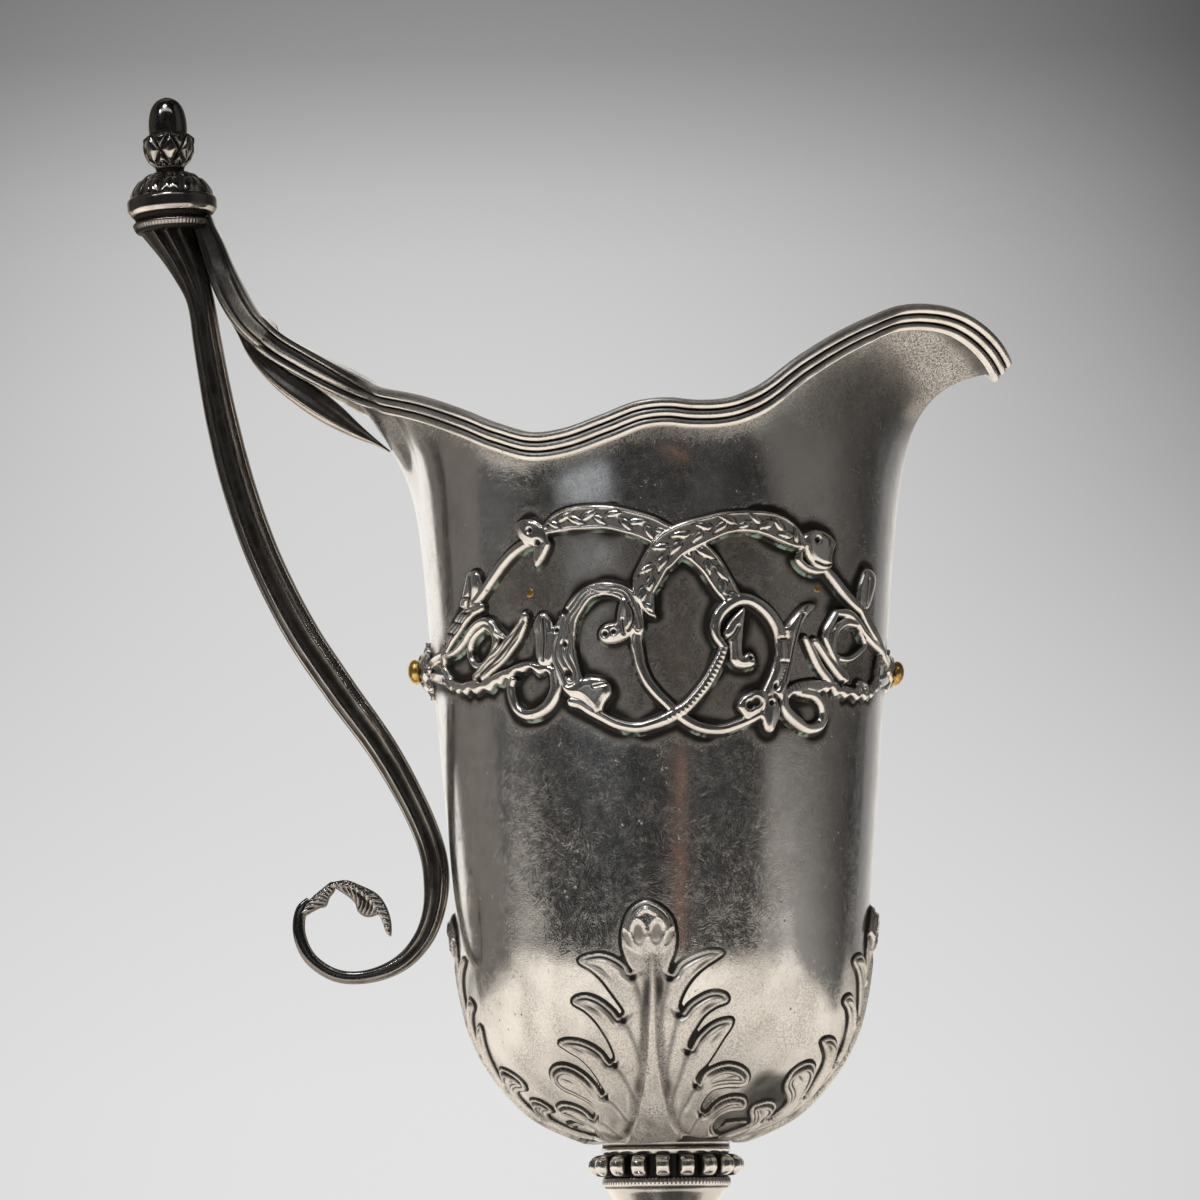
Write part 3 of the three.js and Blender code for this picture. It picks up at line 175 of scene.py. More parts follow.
# ------------------------------------------------------------------ materials
class Net:
    """Short way to write a node tree; every argument is a number, a tuple or a socket."""

    def __init__(self, tree):
        self.tree = tree
        tree.nodes.clear()

    def put(self, socket, value):
        if hasattr(value, "is_output"):
            self.tree.links.new(value, socket)
        elif value is not None:
            socket.default_value = value

    def node(self, kind, **props):
        n = self.tree.nodes.new(kind)
        for k, v in props.items():
            setattr(n, k, v)
        return n

    def math(self, op, a, b=None, c=None, clamp=False):
        n = self.node("ShaderNodeMath", operation=op, use_clamp=clamp)
        for s, v in zip(n.inputs, (a, b, c)):
            self.put(s, v)
        return n.outputs[0]

    def span(self, x, lo, hi, to_lo=0.0, to_hi=1.0):
        n = self.node("ShaderNodeMapRange", interpolation_type="SMOOTHSTEP")
        for s, v in zip(n.inputs, (x, lo, hi, to_lo, to_hi)):
            self.put(s, v)
        return n.outputs[0]

    def mix(self, f, a, b, how="MIX"):
        n = self.node("ShaderNodeMix", data_type="RGBA", blend_type=how)
        self.put(n.inputs[0], f)
        for s, v in ((n.inputs[6], a), (n.inputs[7], b)):
            self.put(s, (*v, 1.0) if isinstance(v, tuple) and len(v) == 3 else v)
        return n.outputs[2]

    def noise(self, vec, scale, detail=3.0, rough=0.55, distort=0.0):
        n = self.node("ShaderNodeTexNoise")
        self.put(n.inputs["Vector"], vec)
        for k, v in (("Scale", scale), ("Detail", detail), ("Roughness", rough), ("Distortion", distort)):
            n.inputs[k].default_value = v
        return n.outputs[0]

    def cells(self, vec, scale, jitter=1.0):
        n = self.node("ShaderNodeTexVoronoi")
        self.put(n.inputs["Vector"], vec)
        n.inputs["Scale"].default_value = scale
        n.inputs["Randomness"].default_value = jitter
        return n.outputs["Distance"]

    def edges(self, vec, scale):
        n = self.node("ShaderNodeTexVoronoi", feature="DISTANCE_TO_EDGE")
        self.put(n.inputs["Vector"], vec)
        n.inputs["Scale"].default_value = scale
        return n.outputs["Distance"]

    def turn(self, vec, scale=(1, 1, 1), rot=(0, 0, 0)):
        n = self.node("ShaderNodeMapping")
        self.put(n.inputs["Vector"], vec)
        n.inputs["Scale"].default_value = scale
        n.inputs["Rotation"].default_value = rot
        return n.outputs[0]

    def comb(self, vec, angle, along, across, deep):
        """Space turned in its first two axes and drawn out along the first, for hairlines."""
        n = self.node("ShaderNodeMapping", vector_type="TEXTURE")
        self.put(n.inputs["Vector"], vec)
        n.inputs["Rotation"].default_value = (0, 0, angle)
        n.inputs["Scale"].default_value = (1 / along, 1 / across, 1 / deep)
        return n.outputs[0]

    def warp(self, vec, scale, amount):
        """Space pushed about by a slow noise."""
        t = self.node("ShaderNodeTexNoise")
        self.put(t.inputs["Vector"], vec)
        t.inputs["Scale"].default_value = scale
        t.inputs["Detail"].default_value = 2.0
        a = self.node("ShaderNodeVectorMath", operation="SUBTRACT")
        self.put(a.inputs[0], t.outputs["Color"])
        a.inputs[1].default_value = (0.5, 0.5, 0.5)
        b = self.node("ShaderNodeVectorMath", operation="SCALE")
        self.put(b.inputs[0], a.outputs[0])
        b.inputs["Scale"].default_value = amount
        c = self.node("ShaderNodeVectorMath", operation="ADD")
        self.put(c.inputs[0], vec)
        self.put(c.inputs[1], b.outputs[0])
        return c.outputs[0]

    def unroll(self, vec):
        """Space unrolled round the upright axis: distance round, height, distance out."""
        s = self.node("ShaderNodeSeparateXYZ")
        self.put(s.inputs[0], vec)
        x, y, z = s.outputs
        c = self.node("ShaderNodeCombineXYZ")
        self.put(c.inputs[0], self.math("MULTIPLY", self.math("ARCTAN2", y, x), 0.037))
        self.put(c.inputs[1], z)
        self.put(c.inputs[2], self.math("SQRT", self.math("ADD", self.math("MULTIPLY", x, x), self.math("MULTIPLY", y, y))))
        return c.outputs[0]

    def layer(self, name):
        return self.node("ShaderNodeAttribute", attribute_name=name).outputs["Fac"]

    def place(self):
        return self.node("ShaderNodeTexCoord").outputs["Object"]


def silver(name, base, stain, stain_amount, rough, grain, scratch, stipple, dirt, veil, unroll=False, rim=(1.0, 1.0, 1.0)):
    """Old silver: polished metal with a rubbed film, hairlines, stains, pits and dark oxide in the recesses.

    Point attributes: cav is oxide, and on some parts painted shade and painted shadow; below zero it is metal worn
    clean, and on some parts a painted highlight; ver verdigris, haze a dull brown film, sand an unpolished grainy skin,
    frost a matted surface."""
    m = bpy.data.materials.new(name)
    m.use_nodes = True
    n = Net(m.node_tree)
    p = n.place()
    q = n.unroll(p) if unroll else p
    both, ver, haze, sand, frost = (n.layer(k) for k in ("cav", "ver", "haze", "sand", "frost"))
    cav, bare_and_highlight = n.math("MAXIMUM", both, 0.0), n.math("MULTIPLY", both, -1.0, clamp=True)
    wide = n.noise(p, 38.0, 4.0, 0.6, 0.4)
    mid = n.noise(p, 190.0, 4.0, 0.62, 0.3)
    fine = n.noise(p, 1500.0, 3.0, 0.6)
    # stains that wander over the surface, darker where they gather
    patch = n.math("MULTIPLY", n.span(wide, 0.42, 0.68), n.span(mid, 0.36, 0.70))
    patch = n.math("ADD", n.math("MULTIPLY", patch, 0.75), n.math("MULTIPLY", n.span(fine, 0.48, 0.75), 0.25))
    col = n.mix(n.math("MULTIPLY", patch, stain_amount), base, stain)
    # below zero, cav lightens the colour towards clean silver: wear, and on some parts a painted highlight
    col = n.mix(n.math("MULTIPLY", bare_and_highlight, n.span(mid, 0.30, 0.52, 0.5, 1.0)), col, (0.90, 0.83, 0.75))
    # hairlines from rubbing, in four directions that bend together
    w = n.warp(q, 85.0, 0.007)
    rub = None
    for k, (angle, along, across) in enumerate(((0.45, 820.0, 5600.0), (1.2, 700.0, 6400.0), (2.0, 900.0, 5200.0), (2.75, 760.0, 6000.0))):
        line = n.span(n.noise(n.comb(w, angle, along, across, 900.0), 1.0, 1.0, 0.5), 0.44, 0.72)
        line = n.math("MULTIPLY", line, n.span(n.noise(q, 260.0 + 90 * k, 4.0, 0.65), 0.36, 0.66))
        rub = line if rub is None else n.math("MAXIMUM", rub, line)
    # film of wear, in clouds
    cloud = n.span(n.noise(q, 165.0, 5.0, 0.68, 0.9), 0.36, 0.68)
    streak = n.noise(n.comb(w, 0.85, 380.0, 1500.0, 900.0), 1.0, 3.0, 0.65)
    other = n.noise(n.comb(w, 2.3, 420.0, 1700.0, 900.0), 1.0, 3.0, 0.65)
    streak = n.math("MAXIMUM", n.span(streak, 0.52, 0.78), n.span(other, 0.53, 0.78))
    streak = n.math("MULTIPLY", streak, n.math("MULTIPLY_ADD", cloud, 0.75, 0.25))
    # small pits and specks
    dots = n.cells(p, 620.0)
    speck = n.math("MULTIPLY", n.span(dots, 0.20, 0.09), n.span(n.noise(p, 120.0, 2.0), 0.56, 0.68))
    speck = n.math("MULTIPLY", speck, 0.75)
    tall = n.noise(n.comb(w, 1.57, 800.0, 2600.0, 900.0), 1.0, 1.0, 0.5)
    tall = n.math("MULTIPLY", n.span(tall, 0.66, 0.76), n.span(mid, 0.46, 0.62))
    speck = n.math("MAXIMUM", speck, n.math("MULTIPLY", tall, 0.55))
    grain_dots = n.noise(p, 2700.0, 2.0, 0.7)
    rough_patch = n.math("MULTIPLY", n.span(grain_dots, 0.54, 0.68), n.math("ADD", cav, n.span(mid, 0.56, 0.80)), clamp=True)
    speck = n.math("MAXIMUM", speck, n.math("MULTIPLY", rough_patch, stipple))
    gritty = n.math("MULTIPLY", n.span(n.noise(p, 3300.0, 2.0, 0.7), 0.44, 0.60), sand)
    # cav darkens the colour towards brown-black: oxide in hollows, and on some parts painted shade, painted shadow and
    # painted dark reflection
    tarnish_and_shade = n.math("ADD", cav, n.math("MULTIPLY", n.span(mid, 0.35, 0.75), dirt), clamp=True)
    dark = n.math("MAXIMUM", n.math("MULTIPLY", speck, 0.8), n.span(tarnish_and_shade, 0.18, 0.85), clamp=True)
    dark = n.math("MAXIMUM", dark, n.math("MULTIPLY", gritty, 0.85), clamp=True)
    dull = n.math("MULTIPLY", haze, n.span(mid, 0.25, 0.60, 0.75, 1.0), clamp=True)
    col = n.mix(n.math("MULTIPLY", dull, 0.85), col, (0.21, 0.178, 0.152))
    col = n.mix(dark, col, (0.022, 0.019, 0.016))
    green = n.math("MULTIPLY", ver, n.span(n.noise(p, 900.0, 2.0), 0.36, 0.58), clamp=True)
    col = n.mix(green, col, (0.36, 0.47, 0.38))
    soft = n.math("MULTIPLY", n.math("MULTIPLY_ADD", cloud, 0.88, 0.12), veil)
    soft = n.math("ADD", soft, n.math("MULTIPLY_ADD", rub, 0.05 * scratch, n.math("MULTIPLY", streak, 0.11 * scratch)))
    soft = n.math("ADD", soft, n.math("MULTIPLY", dull, 0.12))
    soft = n.math("ADD", soft, n.math("MULTIPLY", frost, 0.14))
    metal = n.math("SUBTRACT", 1.0, soft, clamp=True)
    metal = n.math("SUBTRACT", metal, n.math("MULTIPLY", green, 0.9), clamp=True)
    metal = n.math("SUBTRACT", metal, n.math("MULTIPLY", dark, 0.35), clamp=True)
    ro = n.math("MULTIPLY_ADD", patch, 0.06, rough)
    ro = n.math("ADD", ro, n.math("MULTIPLY", rub, 0.16 * scratch))
    ro = n.math("ADD", ro, n.math("MULTIPLY", n.math("MAXIMUM", dull, sand), 0.16))
    ro = n.math("ADD", ro, n.math("MULTIPLY", n.math("MAXIMUM", dark, green), 0.28), clamp=True)
    ro = n.math("ADD", ro, n.math("MULTIPLY", frost, 0.17), clamp=True)
    height = n.math("MULTIPLY", n.noise(p, 4200.0, 2.0, 0.6), 0.30 * grain)
    height = n.math("ADD", height, n.math("MULTIPLY", fine, 0.30 * grain))
    height = n.math("SUBTRACT", height, n.math("MULTIPLY", rub, 0.4 * scratch))
    height = n.math("SUBTRACT", height, n.math("MULTIPLY", n.math("MAXIMUM", speck, gritty), 1.5))
    bump = n.node("ShaderNodeBump")
    bump.inputs["Strength"].default_value = 0.30
    bump.inputs["Distance"].default_value = 0.00003
    n.put(bump.inputs["Height"], height)
    s = n.node("ShaderNodeBsdfPrincipled")
    n.put(s.inputs["Base Color"], col)
    n.put(s.inputs["Metallic"], metal)
    n.put(s.inputs["Roughness"], ro)
    s.inputs["Specular Tint"].default_value = (*rim, 1.0)
    n.put(s.inputs["Normal"], bump.outputs[0])
    out = n.node("ShaderNodeOutputMaterial")
    n.tree.links.new(s.outputs[0], out.inputs[0])
    return m


def gilt(name):
    """Worn gilt brass with dark corners."""
    m = bpy.data.materials.new(name)
    m.use_nodes = True
    n = Net(m.node_tree)
    p = n.place()
    wear = n.noise(p, 900.0, 4.0, 0.6)
    col = n.mix(n.span(wear, 0.4, 0.68), (0.78, 0.52, 0.16), (0.40, 0.24, 0.08))
    col = n.mix(n.span(n.layer("cav"), 0.2, 0.9), col, (0.05, 0.03, 0.015))
    bump = n.node("ShaderNodeBump")
    bump.inputs["Strength"].default_value = 0.4
    bump.inputs["Distance"].default_value = 0.00004
    n.put(bump.inputs["Height"], n.noise(p, 2600.0, 2.0))
    s = n.node("ShaderNodeBsdfPrincipled")
    n.put(s.inputs["Base Color"], col)
    s.inputs["Metallic"].default_value = 1.0
    n.put(s.inputs["Roughness"], n.span(wear, 0.3, 0.8, 0.24, 0.5))
    n.put(s.inputs["Normal"], bump.outputs[0])
    n.tree.links.new(s.outputs[0], n.node("ShaderNodeOutputMaterial").inputs[0])
    return m


SHEET = silver("silver_sheet", (0.88, 0.85, 0.81), (0.56, 0.50, 0.44), 0.55, 0.070, 1.0, 1.0, stipple=0.8, dirt=0.08, veil=0.012, unroll=True)
CAST = silver("silver_cast", (0.87, 0.83, 0.78), (0.50, 0.43, 0.36), 0.65, 0.12, 1.3, 0.5, stipple=0.7, dirt=0.12, veil=0.03)
DARK = silver("silver_dark", (0.24, 0.225, 0.21), (0.08, 0.07, 0.062), 0.80, 0.10, 1.4, 0.4, stipple=0.5, dirt=0.20, veil=0.0, rim=(0.5, 0.47, 0.44))
BRASS = gilt("worn_gilt")

# ------------------------------------------------------------------ helpers
def curve(xs, ys, m0=0.0, m1=0.0):
    """Smooth curve through a table."""
    xs, ys = np.asarray(xs, float), np.asarray(ys, float)
    h, a = np.diff(xs), np.diff(ys) / np.diff(xs)
    m = np.zeros(len(xs))
    m[0], m[-1] = m0, m1
    m[1:-1] = (a[:-1] * h[1:] + a[1:] * h[:-1]) / (h[:-1] + h[1:])

    def f(x):
        x = np.clip(np.asarray(x, float), xs[0], xs[-1])
        i = np.clip(np.searchsorted(xs, x, side="right") - 1, 0, len(xs) - 2)
        w = xs[i + 1] - xs[i]
        t = (x - xs[i]) / w
        return ((2 * t**3 - 3 * t**2 + 1) * ys[i] + (t**3 - 2 * t**2 + t) * w * m[i]
                + (3 * t**2 - 2 * t**3) * ys[i + 1] + (t**3 - t**2) * w * m[i + 1])
    return f


def spline(pts, step, loop=False):
    """Centripetal curve through points of any dimension, resampled to an even step."""
    p = np.asarray(pts, float)
    if loop:
        q = np.vstack([p[-1], p, p[0], p[1]])
    else:
        q = np.vstack([2 * p[0] - p[1], p, 2 * p[-1] - p[-2]])
    out = []
    for i in range(1, len(q) - 2):
        p0, p1, p2, p3 = q[i - 1], q[i], q[i + 1], q[i + 2]
        d = [max(np.linalg.norm(b[:3] - a[:3]) ** 0.5, 1e-4) for a, b in ((p0, p1), (p1, p2), (p2, p3))]
        t0, t1 = 0.0, d[0]
        t2, t3 = t1 + d[1], t1 + d[1] + d[2]
        t = np.linspace(t1, t2, 25)[:-1][:, None]
        a1 = (t1 - t) / (t1 - t0) * p0 + (t - t0) / (t1 - t0) * p1
        a2 = (t2 - t) / (t2 - t1) * p1 + (t - t1) / (t2 - t1) * p2
        a3 = (t3 - t) / (t3 - t2) * p2 + (t - t2) / (t3 - t2) * p3
        b1 = (t2 - t) / (t2 - t0) * a1 + (t - t0) / (t2 - t0) * a2
        b2 = (t3 - t) / (t3 - t1) * a2 + (t - t1) / (t3 - t1) * a3
        out.append((t2 - t) / (t2 - t1) * b1 + (t - t1) / (t2 - t1) * b2)
    out = np.vstack(out + [p[:1] if loop else p[-1:]])
    k = np.r_[0, np.cumsum(np.linalg.norm(np.diff(out[:, :min(3, out.shape[1])], axis=0), axis=1))]
    n = max(2, int(round(k[-1] / step)) + 1)
    s = np.linspace(0, k[-1], n)
    return np.stack([np.interp(s, k, out[:, j]) for j in range(out.shape[1])], axis=1)


def smooth(x, a=0.0, b=1.0):
    t = np.clip((np.asarray(x, float) - a) / (b - a), 0, 1)
    return t * t * (3 - 2 * t)


def ripple(x, y, z, seed):
    """Soft unevenness of hand-raised metal, about -1 to 1."""
    r = np.random.default_rng(seed)
    v = 0.0
    for _ in range(9):
        k = r.normal(size=3)
        k *= r.uniform(0.6, 1.9) / np.linalg.norm(k)
        v = v + np.sin(k[0] * x + k[1] * y + k[2] * z + r.uniform(0, 6.28))
    return v / 5.0


def make(name, verts, quads=(), tris=(), mat=None, nodes=(), slot="silver_cast", **attrs):
    """Mesh object from arrays; faces are turned outwards; extra arrays become attributes."""
    v = np.asarray(verts, float)
    quads, tris = np.asarray(quads, np.int64).reshape(-1, 4), np.asarray(tris, np.int64).reshape(-1, 3)
    t = np.vstack([quads[:, [0, 1, 2]], quads[:, [0, 2, 3]], tris]) if len(quads) else tris
    vol = np.einsum("ij,ij->i", v[t[:, 0]], np.cross(v[t[:, 1]], v[t[:, 2]])).sum()
    if vol < 0:
        quads, tris = quads[:, ::-1], tris[:, ::-1]
    me = bpy.data.meshes.new(name)
    loops = np.concatenate([quads.ravel(), tris.ravel()]).astype(np.int32)
    sizes = np.concatenate([np.full(len(quads), 4), np.full(len(tris), 3)])
    me.vertices.add(len(v))
    me.vertices.foreach_set("co", (v * MM).astype(np.float32).ravel())
    me.loops.add(len(loops))
    me.loops.foreach_set("vertex_index", loops)
    me.polygons.add(len(sizes))
    me.polygons.foreach_set("loop_start", np.r_[0, np.cumsum(sizes)[:-1]].astype(np.int32))
    me.polygons.foreach_set("use_smooth", np.ones(len(sizes), bool))
    for key, val in attrs.items():
        a = me.attributes.new(key, "FLOAT", "POINT")
        a.data.foreach_set("value", np.broadcast_to(np.asarray(val, np.float32), len(v)).copy())
    me.update(calc_edges=True)
    me.validate()
    me.materials.append(mat)
    ob = bpy.data.objects.new(name, me)
    bpy.context.scene.collection.objects.link(ob)
    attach(ob, "root")
    if nodes:
        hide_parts(*nodes)
    return ob


def grid_faces(nu, nv, wrap_u=False, wrap_v=False):
    i, j = np.meshgrid(np.arange(nu if wrap_u else nu - 1), np.arange(nv if wrap_v else nv - 1), indexing="ij")
    i2, j2 = (i + 1) % nu, (j + 1) % nv
    return np.stack([i * nv + j, i * nv + j2, i2 * nv + j2, i2 * nv + j], axis=-1).reshape(-1, 4)


def tube(rings):
    """Closed body from equal closed rings, its ends filled by fans."""
    r = np.asarray(rings, float)
    n, m = r.shape[:2]
    v = np.vstack([r.reshape(-1, 3), r[0].mean(axis=0), r[-1].mean(axis=0)])
    q = grid_faces(n, m, wrap_v=True)
    k = np.arange(m)
    k2 = (k + 1) % m
    t0 = np.stack([np.full(m, n * m), k2, k], axis=1)
    t1 = np.stack([np.full(m, n * m + 1), (n - 1) * m + k, (n - 1) * m + k2], axis=1)
    return v, q, np.vstack([t0, t1])


def turned(profile, n, shape=None):
    """Body turned about Z from (r, z) rows; closed ring if the first row is repeated at the end."""
    p = np.asarray(profile, float)
    ring = np.allclose(p[0], p[-1])
    if ring:
        p = p[:-1]
    a = 2 * np.pi * np.arange(n) / n
    r, z = np.broadcast_to(p[:, :1], (len(p), n)).copy(), np.broadcast_to(p[:, 1:2], (len(p), n)).copy()
    if shape is not None:
        r, z = shape(np.broadcast_to(a, r.shape), r, z)
    v = np.stack([r * np.cos(a), r * np.sin(a), z], axis=-1)
    if ring:
        return v.reshape(-1, 3), grid_faces(len(p), n, True, True), []
    return tube(v)


def rounded(rows, radius=0.25, per=4):
    """Polyline of (r, z) with its corners rounded off."""
    p = np.asarray(rows, float)
    out = [p[0]]
    for i in range(1, len(p) - 1):
        a, b, c = p[i - 1], p[i], p[i + 1]
        la, lc = np.linalg.norm(a - b), np.linalg.norm(c - b)
        k = min(radius, 0.45 * la, 0.45 * lc)
        s, e = b + (a - b) / la * k, b + (c - b) / lc * k
        for t in np.linspace(0, 1, per):
            out.append((1 - t) ** 2 * s + 2 * t * (1 - t) * b + t * t * e)
    out.append(p[-1])
    return np.array(out)


def refine(rows, step):
    """Same polyline with extra points on its long edges."""
    p = np.asarray(rows, float)
    out = []
    for a, b in zip(p[:-1], p[1:]):
        k = max(1, int(np.ceil(np.linalg.norm(b - a) / step)))
        out += [a + (b - a) * t / k for t in range(k)]
    return np.array(out + [p[-1]])


def line_distance(gu, gv, line):
    """Distance to a polyline, the place along it and the width there (third column)."""
    best = np.full(gu.shape, 1e9)
    wid, along, side = np.zeros(gu.shape), np.zeros(gu.shape), np.zeros(gu.shape)
    run = 0.0
    for a, b in zip(line[:-1], line[1:]):
        d = b[:2] - a[:2]
        l2 = max(d @ d, 1e-9)
        t = np.clip(((gu - a[0]) * d[0] + (gv - a[1]) * d[1]) / l2, 0, 1)
        du, dv = gu - a[0] - t * d[0], gv - a[1] - t * d[1]
        dist = np.hypot(du, dv)
        near = dist < best
        best = np.where(near, dist, best)
        along = np.where(near, run + t * l2**0.5, along)
        side = np.where(near, np.sign(d[0] * dv - d[1] * du) * dist, side)
        if len(a) > 2:
            wid = np.where(near, a[2] + t * (b[2] - a[2]), wid)
        run += l2**0.5
    return best, wid, along, side


def outline_distance(gu, gv, poly):
    """Signed distance to a closed outline, negative inside."""
    p = np.vstack([poly, poly[:1]])
    d = line_distance(gu, gv, p)[0]
    inside = np.zeros(gu.shape, bool)
    for a, b in zip(p[:-1], p[1:]):
        cross = (a[1] > gv) != (b[1] > gv)
        with np.errstate(divide="ignore", invalid="ignore"):
            at = (b[0] - a[0]) * (gv - a[1]) / (b[1] - a[1] if b[1] != a[1] else 1e-9) + a[0]
        inside ^= cross & (gu < at)
    return np.where(inside, -d, d)


def blur(a, n):
    for _ in range(n):
        b = np.pad(a, 1, mode="edge")
        a = (b[1:-1, 1:-1] * 4 + 2 * (b[:-2, 1:-1] + b[2:, 1:-1] + b[1:-1, :-2] + b[1:-1, 2:])
             + b[:-2, :-2] + b[2:, 2:] + b[:-2, 2:] + b[2:, :-2]) / 16
    return a


def relief(dist, top, bottom, gu, gv, step, place, **layers):
    """Closed body over the cells where dist < 0, its edge drawn onto the contour."""
    du, dv = np.gradient(dist, step)
    g2 = np.maximum(du**2 + dv**2, 0.25)
    snap = np.abs(dist) < 0.62 * step
    u = np.where(snap, gu - dist * du / g2, gu)
    v = np.where(snap, gv - dist * dv / g2, gv)
    keep = dist < 0.62 * step
    nu, nv = dist.shape
    q = grid_faces(nu, nv)
    kq = keep.ravel()[q]
    full = q[kq.all(axis=1)]
    three = q[kq.sum(axis=1) == 3]
    k3 = keep.ravel()[three]
    tri = np.array([row[m] for row, m in zip(three, k3)]).reshape(-1, 3)
    used = np.unique(np.concatenate([full.ravel(), tri.ravel()]))
    index = np.full(nu * nv, -1)
    index[used] = np.arange(len(used))
    full, tri = index[full], index[tri] if len(tri) else tri
    n = len(used)
    up = place(u.ravel()[used], v.ravel()[used], top.ravel()[used])
    low = place(u.ravel()[used], v.ravel()[used], bottom.ravel()[used])
    edges = np.vstack([full[:, [0, 1]], full[:, [1, 2]], full[:, [2, 3]], full[:, [3, 0]]]
                      + ([tri[:, [0, 1]], tri[:, [1, 2]], tri[:, [2, 0]]] if len(tri) else []))
    key = np.sort(edges, axis=1)
    _, first, count = np.unique(key[:, 0] * n + key[:, 1], return_index=True, return_counts=True)
    rim = edges[first[count == 1]]
    walls = np.stack([rim[:, 1], rim[:, 0], rim[:, 0] + n, rim[:, 1] + n], axis=1)
    quads = np.vstack([full, full[:, ::-1] + n, walls])
    tris = np.vstack([tri, tri[:, ::-1] + n]) if len(tri) else tri
    lay = {k: np.concatenate([a.ravel()[used], b.ravel()[used]]) for k, (a, b) in layers.items()}
    return np.vstack([up, low]), quads, tris, lay


# ------------------------------------------------------------------ body surface
PZ, PR = np.array(PROFILE).T
body_r = curve(PZ, PR, 3.1, 0.095)
rim_r, rim_z = curve(RIM_A, RIM_R), curve(RIM_A, RIM_Z)
lean, drop, extra = curve(LEAN_A, LEAN_D), curve(LEAN_A, DROP_D), curve(LEAN_A, EXTRA_D)
pull_0, pull_1 = curve(PULL_A, PULL_0), curve(PULL_A, PULL_1)


def lip(a, t):
    """Lip of the body: angle from the spout in degrees, t from the round body to the edge."""
    a = np.abs((np.asarray(a, float) + 180) % 360 - 180)
    b = np.radians(lean(a))
    d = drop(a)
    o = -0.84 - 1.3 * np.exp(-((a - 167) / 6.0) ** 2)
    e_r = rim_r(a) - np.sin(b) * d + np.cos(b) * o
    e_z = rim_z(a) - np.cos(b) * d - np.sin(b) * o
    c = np.radians(lean(a) + extra(a))
    size = np.hypot(e_r - FLARE_R, e_z - FLARE_Z)
    l0 = pull_0(a) * size
    k = math.hypot(0.095, 1)
    r1, z1 = FLARE_R + l0 * 0.095 / k, FLARE_Z + l0 / k
    l1 = pull_1(a) * size
    r2, z2 = e_r - np.sin(c) * l1, e_z - np.cos(c) * l1
    w = [(1 - t) ** 3, 3 * t * (1 - t) ** 2, 3 * t * t * (1 - t), t**3]
    return (w[0] * FLARE_R + w[1] * r1 + w[2] * r2 + w[3] * e_r,
            w[0] * FLARE_Z + w[1] * z1 + w[2] * z2 + w[3] * e_z)


_t = np.linspace(0, 1, 60)
_side = [lip(a, _t) for a in range(0, 181, 4)]


def skin_r(z, deg):
    """Radius of the body at a height and an angle from the spout, up to the lip."""
    z = np.asarray(z, float)
    out = body_r(z)
    high = z > FLARE_Z
    if high.any():
        a = np.abs((np.asarray(deg, float) + 180) % 360 - 180)
        i = np.clip(a / 4, 0, 44.999)
        k = i.astype(int)
        f = i - k
        lo = np.array([np.interp(zz, _side[j][1], _side[j][0]) for zz, j in zip(z[high], k[high])])
        hi = np.array([np.interp(zz, _side[j + 1][1], _side[j + 1][0]) for zz, j in zip(z[high], k[high])])
        out = out.copy()
        out[high] = lo + (hi - lo) * f[high]
    return out


def dents(x, y, z):
    """Unevenness of the raised sheet in millimetres, more at the bottom."""
    slow = (0.035 + 0.06 * smooth(-z, -80, -55)) * ripple(x / 8.5, y / 8.5, z / 10.0, 3)
    return slow + 0.016 * smooth(-z, -92, -76) * ripple(x / 1.5, y / 1.5, z / 1.9, 7)


def on_body(s, z, h):
    """Point over the near side: distance round, height, height over the skin."""
    a = s / RELIEF_R - np.pi / 2
    r = skin_r(z, np.degrees(a))
    r = r + dents(r * np.cos(a), r * np.sin(a), z) + h
    return np.stack([r * np.cos(a), r * np.sin(a), z], axis=-1)


# ------------------------------------------------------------------ frieze, as a height field
STEP = 0.20
su, sv = np.arange(-57.0, 68.0, STEP), np.arange(107.6, 147.4, STEP)
GU, GV = np.meshgrid(su, sv, indexing="ij")


def window(axis_u, axis_v, pts, pad):
    lo, hi = pts[:, :2].min(axis=0) - pad, pts[:, :2].max(axis=0) + pad
    i, j = np.searchsorted(axis_u, (lo[0], hi[0])), np.searchsorted(axis_v, (lo[1], hi[1]))
    return slice(i[0], i[1]), slice(j[0], j[1])


def dome(k):
    return np.sqrt(np.maximum(0.0, 1 - np.clip(k, 0, 1) ** 2))


def chance(k, seed):
    """Fixed number from 0 to 1 for a whole number."""
    return np.modf(np.abs(np.sin(k * 12.9898 + seed * 78.233)) * 43758.5453)[0]


